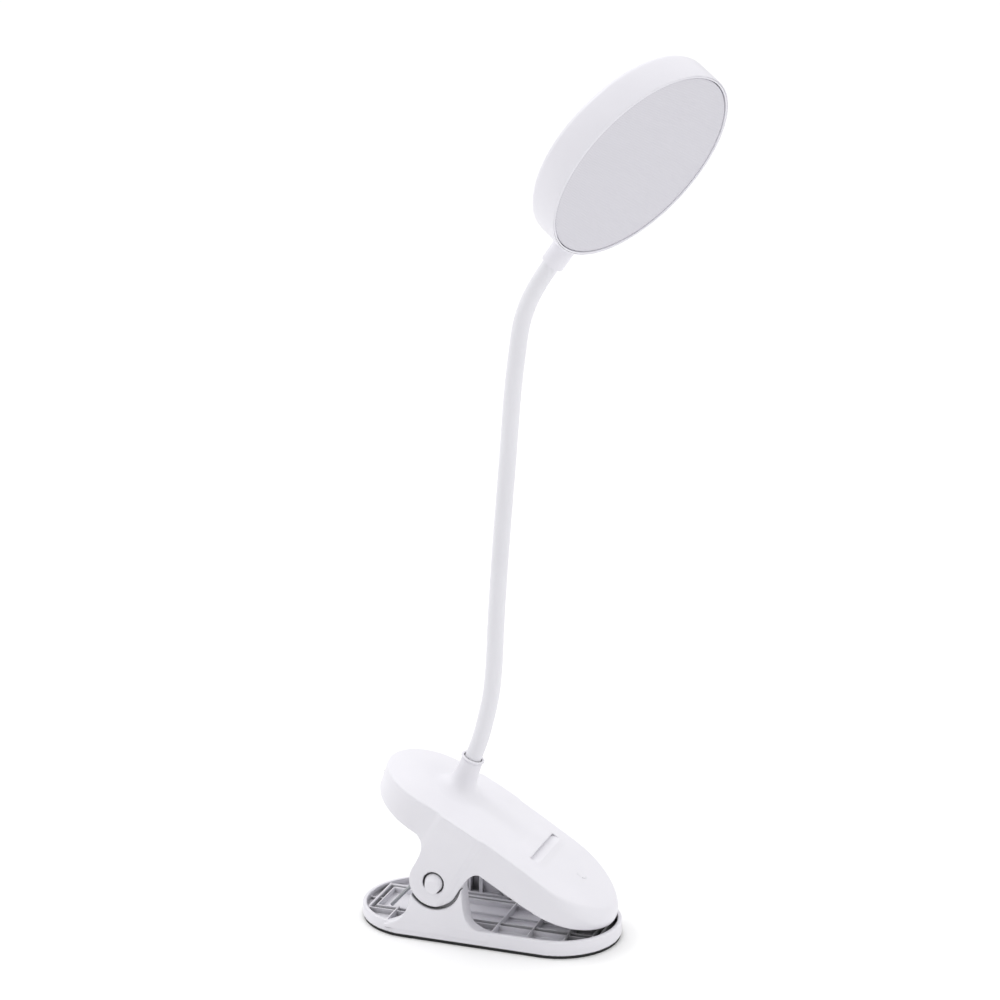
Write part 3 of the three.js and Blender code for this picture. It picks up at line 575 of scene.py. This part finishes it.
def neck_stem(v, height, ahead):
    """The post that the neck rises from. It shifts towards the nose and widens on its way down."""
    depth = np.maximum(-height, 0)
    across = np.hypot(ahead - STEM_SHIFT * depth, v)
    widen = STEM_WIDENING * np.maximum(depth - 1, 0)
    return np.maximum(across - SOCKET_RADIUS + 0.1 - widen, np.maximum(height, -STEM_DEPTH - height))


def lip_rise(u, v):
    """How far the top rises towards the lip of the thumb ledge, fading out on every side."""
    along = smooth_step(u, LEDGE_U - LIP_RUN, LEDGE_U)
    across = 1 - smooth_step(np.abs(v), LEDGE_HALF - 6, LEDGE_HALF + 4)
    behind = 1 - smooth_step(u, LEDGE_U + 4, LEDGE_U + 9)
    return LIP_RISE * along * across * behind


def ramp(u, v, w):
    """The space in front of the ledge: a step down, then a floor that climbs back to the top."""
    floor = top_height(u, v) - STEP_DEPTH + (u - LEDGE_U) * RAMP_SLOPE - w
    inside = np.maximum(floor, LEDGE_U - u)
    return round_and(inside, np.abs(v) - LEDGE_HALF, 0.2)


def touch_mark(u, v, w):
    """A small raised disc that slopes back into the surface, so that only its lower rim stands
    proud."""
    slant = (u - TOUCH_U) * 0.7 - v * 0.7
    rise = TOUCH_RISE * smooth_step(slant, -TOUCH_RADIUS, TOUCH_RADIUS)
    over = w - top_height(u, v) - rise
    disc = round_and(np.hypot(u - TOUCH_U, v) - TOUCH_RADIUS, over, 0.12)
    return np.maximum(disc, -over - TOUCH_DEPTH)


def upper_shell_field(u, v, w):
    proud = panel_height(u)
    body = pebble(u, v, w, 0, underside_height(u), proud, lip_rise(u, v))
    height, ahead = along_socket(u, w)
    across = np.hypot(ahead, v)
    body = soft_or(body, neck_stem(v, height, ahead), FLARE_REACH)
    bead = np.hypot(across - SOCKET_RADIUS - 0.1, height + 0.5) - BEAD_RADIUS
    body = round_or(body, bead, 0.2)
    body = np.maximum(body, -ramp(u, v, w))
    body = np.minimum(body, touch_mark(u, v, w))
    body = np.maximum(body, -pebble(u, v, w, WALL, CAVITY_BOTTOM))
    flap = round_and(EAR.distance(u, w), np.abs(v) - (HALF + proud), FOOT_RADIUS)
    flap = round_and(flap, EAR_INNER - np.abs(v), 0.3)
    body = np.minimum(body, flap)
    hole = np.hypot(u - PIVOT_U, w - PIVOT_W) - HOLE_RADIUS
    body = round_and(body, -np.maximum(hole, 20 - np.abs(v)), 0.25)
    port = rectangle(v, w - TAIL_HOLES_W, *PORT_HALF)
    body = np.maximum(body, -np.maximum(port, u - PORT_END))
    light = np.hypot(v - LIGHT_V, w - TAIL_HOLES_W) - LIGHT_RADIUS
    body = np.maximum(body, -np.maximum(light, u - LIGHT_END))
    bore = np.maximum(across - SOCKET_BORE, -height - 30)
    return round_and(body, -bore, 0.15)


# The edge of one cell of the grid that the moulded shells are skinned on.
CELL_SIZE = 0.6


def make_upper_shell():
    low = (-TAIL - 2, -HALF - 3, PIVOT_W - EAR_RADIUS - 2)
    high = (NOSE + 2, HALF + 3, 21)
    return skin("clip_cover", upper_shell_field, low, high, CELL_SIZE, jaw_to_frame)


finish_piece(make_upper_shell(), "upper_jaw", WHITE, "upper_shell")


# ---------- lower jaw ----------
BASE_LOW, BASE_HIGH = box_mm("lower_jaw")
BASE_LENGTH = BASE_HIGH[0] - BASE_LOW[0]
BASE_WIDTH = BASE_HIGH[1] - BASE_LOW[1]
SOLE_TOP = BASE_LOW[2]
FLOOR, RIM_FRONT, RIM_REAR, RIM_WALL = 3.4, 8.8, 7.2, 2.1
LOOPS = ((58.5, 14.8), (55.2, 11.2))
LOOP_TOP, CROSS_TOP, CENTRE_TOP = 6.4, 7.0, 5.0
RIB_HALF, RIB_PITCH = 0.5, 17.6
CROSS_RIBS = (-2.5, -1.5, 0.5, 1.5, 2.5)
EAR_RIBS = ((-19.1, 0.6), (-13.2, 1.0))
EAR_SLOTS = ((-22.4, 2.7), (-16.35, 2.15))
EAR_STEP, EAR_STEP_TOP = 20.6, 5.3
EAR_RIB_TOP = 14.0
WEB_INNER, WEB_OUTER, SKIN_OUTER = 23.6, 26.4, 30.5
EAR_LEAN = 0.055
RECESS = 13.8
GROOVE_FLOOR = 24.2
RIB_FOOT = 3.0
BARE_X, BARE_HALF = -43.0, (13.0, 10.8)
SLOT_Z, SLOT_HALF, SLOT_OUTER = 9.5, 4.2, 26.0
STEP_X, STEP_HALF = -14.0, 16.0
FLANGE_INNER = 20.5
PIN_HOLE_RADIUS, PIN_HOLE_INNER = 2.08, 10.0


def lower_ear_outline():
    outline = Outline(-44.5, 5.5)
    outline.curve(-35.8, 8.2, -32.6, 12.5, -31.4, 18.6, 14)
    outline.curve(-30.4, 24, -30, 26, -29.6, PIVOT_Z, 6)
    outline.arc(PIVOT_X, PIVOT_Z, 10.7, math.pi, 0.55, 24)
    outline.line(-4.9, 33.2)
    outline.curve(-4.6, 26, -4.4, 19, -2.6, 14.2, 10)
    outline.curve(-0.6, 10, 3.4, 8.4, 9, 6.5, 12)
    outline.line(9, 4)
    outline.line(-44, 4)
    return outline


def front_flange_outline():
    outline = Outline(-4.9, 33.2)
    outline.curve(-4.5, 26, -4, 20, -3.1, 15, 10)
    outline.curve(-2.4, 10.5, -1, 7.6, 4, 5.3, 12)
    outline.line(0.5, 4)
    outline.curve(-3.2, 8, -4.8, 12, -5.6, 15.5, 8)
    outline.curve(-6.6, 20, -6.9, 25, -7.2, 29.6, 8)
    return outline


LOWER_EAR = lower_ear_outline()
FLANGE = front_flange_outline()


def ribs_field(x, y, z):
    """The tray's ribs: five across, one along the middle and two loops. One patch is left bare."""
    cross = np.minimum.reduce([np.abs(x - step * RIB_PITCH) - RIB_HALF for step in CROSS_RIBS])
    cross = round_and(cross, z - CROSS_TOP, 0.2)
    centre = round_and(np.abs(y) - RIB_HALF, z - CENTRE_TOP, 0.2)
    bare = rectangle(x - BARE_X, y, *BARE_HALF)
    ribs = np.maximum(np.minimum(cross, centre), -bare)
    for half_x, half_y in LOOPS:
        loop = np.abs(rectangle(x, y, half_x, half_y)) - RIB_HALF
        ribs = np.minimum(ribs, round_and(loop, z - LOOP_TOP, 0.2))
    return ribs


def lower_jaw_field(x, y, z):
    side = stadium(x, y, BASE_LENGTH, BASE_WIDTH)
    rim = RIM_REAR + (RIM_FRONT - RIM_REAR) * smooth_step(x, -36, -12)
    block = round_and(round_and(side, z - rim, 0.55), SOLE_TOP - z, 0.3)
    hollow = round_and(side + RIM_WALL, FLOOR - z, 0.8)
    tray = round_and(block, -hollow, 0.35)
    ribs = np.maximum(np.maximum(ribs_field(x, y, z), side + 1), 2.0 - z)
    tray = round_or(tray, ribs, 0.35)
    inward = np.abs(y) + EAR_LEAN * np.maximum(z - RIM_FRONT, 0)
    ear = LOWER_EAR.distance(x, z)
    ear_skin = round_and(ear, inward - SKIN_OUTER, 0.6)
    from_pivot = np.hypot(x - PIVOT_X, z - PIVOT_Z)
    recess = np.maximum(np.minimum(from_pivot - RECESS, PIVOT_Z - 2 - z), WEB_OUTER - np.abs(y))
    ear_skin = round_and(ear_skin, -recess, 0.35)
    ear_skin = np.maximum(ear_skin, WEB_OUTER - 0.4 - inward)
    web = round_and(ear, np.abs(y) - WEB_OUTER, 0.3)
    web = round_and(web, WEB_INNER - np.abs(y), 0.3)
    groove = np.maximum(np.maximum(from_pivot - RECESS, EAR_RADIUS - 0.3 - from_pivot), z - PIVOT_Z + 2)
    socket = from_pivot - HOLE_RADIUS
    web = np.maximum(web, -np.maximum(np.minimum(groove, socket), GROOVE_FLOOR - np.abs(y)))
    for centre, half in EAR_SLOTS:
        slot = np.maximum(np.abs(x - centre) - half, np.abs(z - SLOT_Z) - SLOT_HALF)
        web = round_and(web, -np.maximum(slot, np.abs(y) - SLOT_OUTER), 0.25)
    for centre, half in EAR_RIBS:
        rib = round_and(rectangle(x - centre, np.abs(y) - WEB_INNER, half, 2.2), z - EAR_RIB_TOP, 0.3)
        web = np.minimum(web, np.maximum(rib, RIB_FOOT - z))
    step = np.maximum(np.abs(x - STEP_X) - STEP_HALF, EAR_STEP - np.abs(y))
    step = np.maximum(round_and(step, z - EAR_STEP_TOP, 0.25), np.abs(y) - WEB_INNER - 0.3)
    web = np.minimum(web, np.maximum(step, RIB_FOOT - z))
    flange = round_and(FLANGE.distance(x, z), FLANGE_INNER - np.abs(y), 0.3)
    flange = np.maximum(flange, np.abs(y) - WEB_INNER - 0.6)
    ears = np.minimum(np.minimum(ear_skin, web), flange)
    body = round_or(tray, ears, 0.6)
    pin_hole = np.maximum(from_pivot - PIN_HOLE_RADIUS, PIN_HOLE_INNER - np.abs(y))
    return np.maximum(body, -pin_hole)


def make_lower_jaw():
    low = (BASE_LOW[0] - 2, BASE_LOW[1] - 2, BASE_LOW[2] - 1.5)
    high = (BASE_HIGH[0] + 2, BASE_HIGH[1] + 2, BASE_HIGH[2] + 2)
    return skin("clip_base", lower_jaw_field, low, high, CELL_SIZE)


finish_piece(make_lower_jaw(), "base", WHITE, "lower_jaw")


# ---------- rubber sole ----------
def make_sole():
    """A flat stadium with a rounded lower edge."""
    low, high = box_mm("rubber_sole")
    length, width = high[0] - low[0], high[1] - low[1]
    straight = (length - width) / 2
    steps = 48
    rings = []
    edge = 0.35
    profile = [(edge, low[2]), (0.1, low[2] + 0.1), (0, low[2] + edge), (0, high[2] - 0.05)]
    for inset, z in profile:
        ring = []
        for end, start in ((1, -90), (-1, 90)):
            for i in range(steps + 1):
                a = math.radians(start + i * 180 / steps)
                radius = width / 2 - inset
                ring.append((end * straight + radius * math.cos(a), radius * math.sin(a), z))
        rings.append(ring)
    piece = ring_mesh("rubber_foot", rings)
    sharpen(piece, 40)
    return piece


finish_piece(make_sole(), "base", RUBBER, "rubber_sole")


# ---------- pivot bosses ----------
def make_boss(name, side):
    """A snap-in boss: its face is set low, so that its upper flank is a long ramp."""
    face, steps = 32.0, 64
    # Each row is a circle: its radius, how far out it lies and how far its centre is set down.
    profile = [
        (3.0, 24.6, 0.2), (4.6, 24.6, 0.2), (4.6, 28.3, 0.2), (4.55, 28.8, 0.25), (4.45, 29.1, 0.35),
        (3.55, 31.6, 1.55), (3.42, 31.85, 1.68), (3.2, face, 1.75), (2.6, face, 1.75), (1.2, face, 1.75),
    ]
    rings = []
    for radius, out, drop in profile:
        ring = []
        for i in range(steps):
            a = side * i * 2 * math.pi / steps
            x, z = PIVOT_X + radius * math.cos(a), PIVOT_Z - drop - radius * math.sin(a)
            ring.append((x, side * out, z))
        rings.append(ring)
    return ring_mesh(name, rings)


for side, word in ((-1, "right"), (1, "left")):
    boss = make_boss(f"pivot_boss_{word}", side)
    finish_piece(boss, "base", WHITE, f"pivot_cap_{word}")


# ---------- neck ----------
NECK_RADIUS = 4.05
SLEEVE_START, SLEEVE_LEFT_OVER, RING_SPACING = 3.0, 3.5, 1.6
NECK_POINTS = [
    (-16.3, 67.1),
    (-9.1, 84.9),
    (-5.6, 94.4),
    (-2.6, 105.5),
    (0, 117.9),
    (1.3, 130.1),
    (2.8, 160),
    (5.2, 195.6),
    (8, 230.6),
    (10.6, 265),
    (12.5, 282),
    (15.2, 299.2),
    (19.4, 310.7),
    (26.5, 322.8),
    (34.3, 333.7),
]


def catmull_rom(points, steps=24):
    """The centripetal Catmull-Rom curve through the points, which the neck follows."""
    pts = [np.array(p, float) for p in points]
    pts = [2 * pts[0] - pts[1], *pts, 2 * pts[-1] - pts[-2]]
    line = []
    for a, b, c, d in zip(pts, pts[1:], pts[2:], pts[3:]):
        t0 = 0.0
        t1 = t0 + np.linalg.norm(b - a) ** 0.5
        t2 = t1 + np.linalg.norm(c - b) ** 0.5
        t3 = t2 + np.linalg.norm(d - c) ** 0.5
        for i in range(steps):
            t = t1 + (t2 - t1) * i / steps
            ab = a * (t1 - t) / (t1 - t0) + b * (t - t0) / (t1 - t0)
            bc = b * (t2 - t) / (t2 - t1) + c * (t - t1) / (t2 - t1)
            cd = c * (t3 - t) / (t3 - t2) + d * (t - t2) / (t3 - t2)
            abc = ab * (t2 - t) / (t2 - t0) + bc * (t - t0) / (t2 - t0)
            bcd = bc * (t3 - t) / (t3 - t1) + cd * (t - t1) / (t3 - t1)
            line.append(abc * (t2 - t) / (t2 - t1) + bcd * (t - t1) / (t2 - t1))
    line.append(pts[-2])
    return np.array(line)


NECK_LINE = catmull_rom(NECK_POINTS)
NECK_LENGTHS = np.concatenate([[0], np.cumsum(np.linalg.norm(np.diff(NECK_LINE, axis=0), axis=1))])


def on_neck(length):
    """The point of the neck's middle line at this distance along it."""
    x = np.interp(length, NECK_LENGTHS, NECK_LINE[:, 0])
    z = np.interp(length, NECK_LENGTHS, NECK_LINE[:, 1])
    return np.array([x, 0, z])


def neck_length_at(point):
    away = np.hypot(NECK_LINE[:, 0] - point[0], NECK_LINE[:, 1] - point[2])
    return NECK_LENGTHS[int(away.argmin())]


def neck_ring(length, radius, steps=40):
    """A circle about the neck's middle line, square to it."""
    ahead = on_neck(length + 1.5) - on_neck(length - 1.5)
    ahead /= np.linalg.norm(ahead)
    up = np.cross(ahead, (0, 1, 0))
    centre = on_neck(length)
    angles = np.arange(steps) * 2 * math.pi / steps
    return [centre + radius * (math.cos(a) * np.array([0, 1, 0]) + math.sin(a) * up) for a in angles]


NECK_BENDS = [joint_place(f"neck_bend_{i}")[0] for i in range(1, 7)]
BEND_LENGTHS = [neck_length_at(p) for p in NECK_BENDS]


def make_neck_piece(index):
    """One stretch of the sleeve, from the middle of one rigid length to the middle of the next."""
    here = BEND_LENGTHS[index]
    first, last = index == 0, index + 1 == len(BEND_LENGTHS)
    before = SLEEVE_START if first else (BEND_LENGTHS[index - 1] + here) / 2
    after = NECK_LENGTHS[-1] - SLEEVE_LEFT_OVER if last else (here + BEND_LENGTHS[index + 1]) / 2
    count = max(4, int((after - before) / RING_SPACING))
    rings = [neck_ring(before + (after - before) * i / count, NECK_RADIUS) for i in range(count + 1)]
    piece = ring_mesh(f"neck_sleeve_{index + 1}_flex", rings)
    sharpen(piece, 50)
    piece.data.materials.append(SLEEVE)
    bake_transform(piece)
    replaced = [f"neck_sleeve_{index + 1}", f"neck_coil_{index + 1}"]
    if first:
        replaced.append("neck_root")
    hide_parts(*replaced)


for index in range(len(BEND_LENGTHS)):
    make_neck_piece(index)


# ---------- head ----------
TURN_PLACE, HEAD_UP = joint_place("head_turn")
HEAD_NORMAL = np.array([0.77, -0.32, -0.55])
HEAD_NORMAL -= HEAD_UP * HEAD_NORMAL.dot(HEAD_UP)
HEAD_NORMAL /= np.linalg.norm(HEAD_NORMAL)
HEAD_SIDE = np.cross(HEAD_UP, HEAD_NORMAL)
HEAD_CENTRE = TURN_PLACE + HEAD_UP * 57.0
HEAD_RADIUS, HEAD_THICK, SEAT, RIM_LIP = 50.3, 16.6, 5.3, 0.5
COLLAR_RADIUS, COLLAR_LOW, COLLAR_HIGH = 5.5, -62.4, -48.2


def head_to_frame(points):
    """From the head's own axes, whose Z is the way its light faces, to the frame's."""
    points = np.asarray(points)
    return (
        HEAD_CENTRE
        + points[:, 0:1] * HEAD_SIDE
        + points[:, 1:2] * HEAD_UP
        + points[:, 2:3] * HEAD_NORMAL
    )


def make_head_shell():
    """A shallow dish with a soft back edge and a thin lip in front."""
    r, back, front, wall = HEAD_RADIUS, -HEAD_THICK / 2, HEAD_THICK / 2, 1.8
    profile = [(0.5, back), (20, back), (36, back)]
    profile += arc_points(r - 3.5, back + 3.4, 3.4, -90, -3, 10)
    profile += [(r - 0.05, 0)]
    profile += arc_points(r - 0.28, front - 0.28, 0.28, 0, 90, 5)
    profile += arc_points(r - RIM_LIP + 0.1, front - 0.1, 0.1, 90, 180, 3)
    profile += [(r - RIM_LIP, SEAT), (r - 2.7, SEAT)]
    profile += [(r - 3.0, back + 5), (r - 6.4, back + wall), (20, back + wall), (0.5, back + wall)]
    piece = turned("head_back_shell", profile, head_to_frame)
    sharpen(piece, 35)
    return piece


def make_bezel():
    """The ring that holds the diffuser, let in flush behind the shell's lip."""
    outer, inner = HEAD_RADIUS - RIM_LIP - 0.14, HEAD_RADIUS - 1.38
    low, front = SEAT + 0.05, HEAD_THICK / 2 - 0.02
    profile = [(inner, low), (outer, low)]
    profile += arc_points(outer - 0.14, front - 0.14, 0.14, 0, 90, 4)
    profile += arc_points(inner + 0.14, front - 0.14, 0.14, 90, 180, 4)
    piece = turned("head_bezel", profile, head_to_frame, loop=True)
    sharpen(piece, 50)
    return piece


def make_diffuser():
    """A thin disc, slightly crowned, with a rounded lip. Its UVs run across it in centimetres."""
    edge, low, front = HEAD_RADIUS - 1.72, SEAT + 0.05, HEAD_THICK / 2 - 0.3
    profile = [(0.5, low), (edge, low)]
    profile += arc_points(edge - 0.5, front - 0.55, 0.5, 0, 80, 4)
    for share in (0.97, 0.9, 0.8, 0.7, 0.6, 0.5, 0.4, 0.3, 0.2, 0.1):
        profile.append((edge * share, front + 0.12 * (1 - share)))
    profile.append((0.5, front + 0.12))
    piece = turned("diffuser_panel", profile, head_to_frame)
    sharpen(piece, 40)
    layer = piece.data.uv_layers.new(name="face")
    for loop in piece.data.loops:
        offset = np.array(piece.data.vertices[loop.vertex_index].co) / MM - HEAD_CENTRE
        layer.data[loop.index].uv = (offset.dot(HEAD_SIDE) / 10, offset.dot(HEAD_UP) / 10)
    return piece


def make_collar():
    """The neck's collar on the head: a short tube whose top follows the head's rim."""
    steps = 72
    rings = []
    outline = [
        (4.3, COLLAR_HIGH - 3), (4.3, COLLAR_LOW + 0.3), (4.45, COLLAR_LOW + 0.08), (4.7, COLLAR_LOW),
        (5.2, COLLAR_LOW), (5.42, COLLAR_LOW + 0.1), (COLLAR_RADIUS, COLLAR_LOW + 0.35),
        (COLLAR_RADIUS, -57), (COLLAR_RADIUS, -53),
    ]
    for radius, height in outline:
        ring = []
        for i in range(steps):
            a = -i * 2 * math.pi / steps
            ring.append((radius * math.cos(a), height, radius * math.sin(a)))
        rings.append(head_to_frame(ring))
    for radius in (COLLAR_RADIUS, 5.2, 4.3):
        ring = []
        for i in range(steps):
            a = -i * 2 * math.pi / steps
            x = radius * math.cos(a)
            ring.append((x, -math.sqrt((HEAD_RADIUS + 0.25) ** 2 - x * x), radius * math.sin(a)))
        rings.append(head_to_frame(ring))
    piece = ring_mesh("head_collar_tube", rings[1:], loop=True)
    sharpen(piece, 40)
    return piece


finish_piece(make_head_shell(), "head", HEAD_WHITE, "head_shell")
finish_piece(make_bezel(), "head", HEAD_WHITE, "bezel_ring")
finish_piece(make_diffuser(), "head", FROSTED, "diffuser")
finish_piece(make_collar(), "head", HEAD_WHITE, "head_collar")


# ---------- spring ----------
def make_spring():
    """The torsion spring, wound from round wire: two legs and five turns about the pin."""
    radius, wire, turns, pitch = 6.2, 0.9, 5, 2.2
    coil_steps, leg_steps, wire_steps = 200, 24, 14
    half = turns * pitch / 2
    first = math.radians(138)
    last = first - math.radians(turns * 360 - 70)

    def on_coil(share):
        a = first + (last - first) * share
        y = -half + 2 * half * share
        return np.array([PIVOT_X + radius * math.cos(a), y, PIVOT_Z + radius * math.sin(a)])

    foot = np.array([PIVOT_X - 31, -half, FLOOR + wire + 0.3])
    tip = np.array([PIVOT_X - 22.6, half, PIVOT_Z + 30.2])
    coil = [on_coil(i / coil_steps) for i in range(coil_steps + 1)]
    path = [foot + (coil[0] - foot) * t for t in np.linspace(0, 0.97, leg_steps)]
    path += coil
    path += [coil[-1] + (tip - coil[-1]) * t for t in np.linspace(0.03, 1, leg_steps)]
    rings = []
    for i, centre in enumerate(path):
        ahead = path[min(i + 1, len(path) - 1)] - path[max(i - 1, 0)]
        ahead /= np.linalg.norm(ahead)
        side = np.cross(ahead, (0, 1, 0))
        side /= np.linalg.norm(side)
        over = np.cross(side, ahead)
        ring = []
        for k in range(wire_steps):
            a = k * 2 * math.pi / wire_steps
            ring.append(centre + wire * (math.cos(a) * over + math.sin(a) * side))
        rings.append(ring)
    piece = ring_mesh("spring_wire", rings)
    sharpen(piece, 50)
    piece.data.materials.append(STEEL)
    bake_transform(piece)
    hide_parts("torsion_spring")


make_spring()

# ---------- CAD nodes that stay ----------
CAD_LOOKS = {
    "under_plate": WHITE,
    "grip_pad": RUBBER,
    "neck_nut": STEEL,
    "battery_cell": CELL,
    "control_board": BOARD,
    "touch_spring": STEEL,
    "charge_board": BOARD,
    "charge_port": STEEL,
    "status_light": FROSTED,
    "battery_lead_red": RED_LEAD,
    "battery_lead_black": BLACK_LEAD,
    "pivot_pin": STEEL,
    "led_board": BOARD,
    "head_lead": BLACK_LEAD,
}
for name, node in frame["nodes"].items():
    look = CAD_LOOKS.get(name)
    if name.startswith("led_") and name != "led_board":
        look = LED
    if "screw" in name:
        look = STEEL
    if look is not None and not node.hide_render:
        node.data.materials.clear()
        node.data.materials.append(look)

# ---------- floor, light and camera ----------
# Each ramp gives the cosine where it starts and ends, and its level before and after.
SKY_RISE = (0.0, 0.5, 0.52, 1.12)
FRONT_DARK = ((0.33, -0.94, 0.3), (0.5, 1.0, 1.0, 0.53))
SKY_PATCHES = (
    ((0.95, -0.2, 0.3), (0.7, 1.0, 0.0, 0.5)),
    ((-0.75, 0.3, 0.65), (0.6, 1.0, 0.0, 0.28)),
)
KEY_AT, KEY_SIZE, KEY_POWER = Vector((-1.2, 0.05, 1.9)), 0.6, 7.0
CAMERA_AT = Vector((0.4092, -1.1391, 0.5403))
AZIMUTH = math.radians(19.56)
ELEVATION = math.radians(15.11)


def make_floor():
    """A wide pale disc under the object."""
    points, faces = [(0, 0, 0)], []
    rings, steps, reach = 6, 64, 30000.0
    for r in range(1, rings + 1):
        for i in range(steps):
            a = i * 2 * math.pi / steps
            radius = reach * (r / rings) ** 2
            points.append((radius * math.cos(a), radius * math.sin(a), 0))
    for i in range(steps):
        j = (i + 1) % steps
        faces.append((0, 1 + i, 1 + j))
        for r in range(rings - 1):
            a, b = 1 + r * steps, 1 + (r + 1) * steps
            faces.append((a + i, b + i, b + j, a + j))
    floor = add_mesh("studio_floor", points, faces)
    made, nodes, links, shader = new_material("studio_white")
    noise = nodes.new("ShaderNodeTexNoise")
    noise.inputs["Scale"].default_value = 3.0
    tone = nodes.new("ShaderNodeValToRGB")
    tone.color_ramp.elements[0].color = (0.94, 0.94, 0.94, 1)
    tone.color_ramp.elements[1].color = (0.96, 0.96, 0.96, 1)
    links.new(noise.outputs["Fac"], tone.inputs["Fac"])
    links.new(tone.outputs["Color"], shader.inputs["Base Color"])
    shader.inputs["Roughness"].default_value = 0.9
    floor.data.materials.append(made)


def make_camera():
    data = bpy.data.cameras.new("photo_view")
    data.sensor_width = 36.0
    data.lens = 96.7
    camera = bpy.data.objects.new("photo_view", data)
    back = Vector((
        math.sin(AZIMUTH) * math.cos(ELEVATION),
        -math.cos(AZIMUTH) * math.cos(ELEVATION),
        math.sin(ELEVATION),
    ))
    camera.location = CAMERA_AT
    camera.rotation_euler = (-back).to_track_quat("-Z", "Y").to_euler()
    bpy.context.scene.collection.objects.link(camera)
    bpy.context.scene.camera = camera


def math_node(nodes, links, operation, first, second):
    node = nodes.new("ShaderNodeMath")
    node.operation = operation
    for socket, value in zip(node.inputs, (first, second)):
        if isinstance(value, float):
            socket.default_value = value
        else:
            links.new(value, socket)
    return node.outputs["Value"]


def ramp_node(nodes, links, value, start, end, low, high):
    node = nodes.new("ShaderNodeMapRange")
    node.interpolation_type = "SMOOTHSTEP"
    node.inputs["From Min"].default_value = start
    node.inputs["From Max"].default_value = end
    node.inputs["To Min"].default_value = low
    node.inputs["To Max"].default_value = high
    links.new(value, node.inputs["Value"])
    return node.outputs["Result"]


def towards(nodes, links, place, direction):
    node = nodes.new("ShaderNodeVectorMath")
    node.operation = "DOT_PRODUCT"
    node.inputs[1].default_value = Vector(direction).normalized()
    links.new(place.outputs["Generated"], node.inputs[0])
    return node.outputs["Value"]


def make_world():
    """A studio surround: bright overhead, dim at the horizon and in front, with a soft patch beyond
    the nose and another above the tail."""
    world = bpy.data.worlds.new("studio")
    world.use_nodes = True
    nodes, links = world.node_tree.nodes, world.node_tree.links
    background = nodes["Background"]
    place = nodes.new("ShaderNodeTexCoord")
    height = towards(nodes, links, place, (0, 0, 1))
    level = ramp_node(nodes, links, height, *SKY_RISE)
    front = ramp_node(nodes, links, towards(nodes, links, place, FRONT_DARK[0]), *FRONT_DARK[1])
    level = math_node(nodes, links, "MULTIPLY", level, front)
    for direction, patch in SKY_PATCHES:
        glow = ramp_node(nodes, links, towards(nodes, links, place, direction), *patch)
        level = math_node(nodes, links, "ADD", level, glow)
    links.new(level, background.inputs["Strength"])
    background.inputs["Color"].default_value = (1.0, 1.0, 1.0, 1)
    bpy.context.scene.world = world
    bpy.context.scene.view_settings.view_transform = "Standard"


def make_key_light():
    """A soft box high beyond the lamp's tail, which draws the clip's shadows towards its nose."""
    data = bpy.data.lights.new("key_left", "AREA")
    data.size = KEY_SIZE
    data.energy = KEY_POWER
    light = bpy.data.objects.new("key_left", data)
    light.location = KEY_AT
    aim = Vector((0, 0, 0.15)) - KEY_AT
    light.rotation_euler = aim.to_track_quat("-Z", "Y").to_euler()
    bpy.context.scene.collection.objects.link(light)


make_floor()
make_world()
make_key_light()
make_camera()
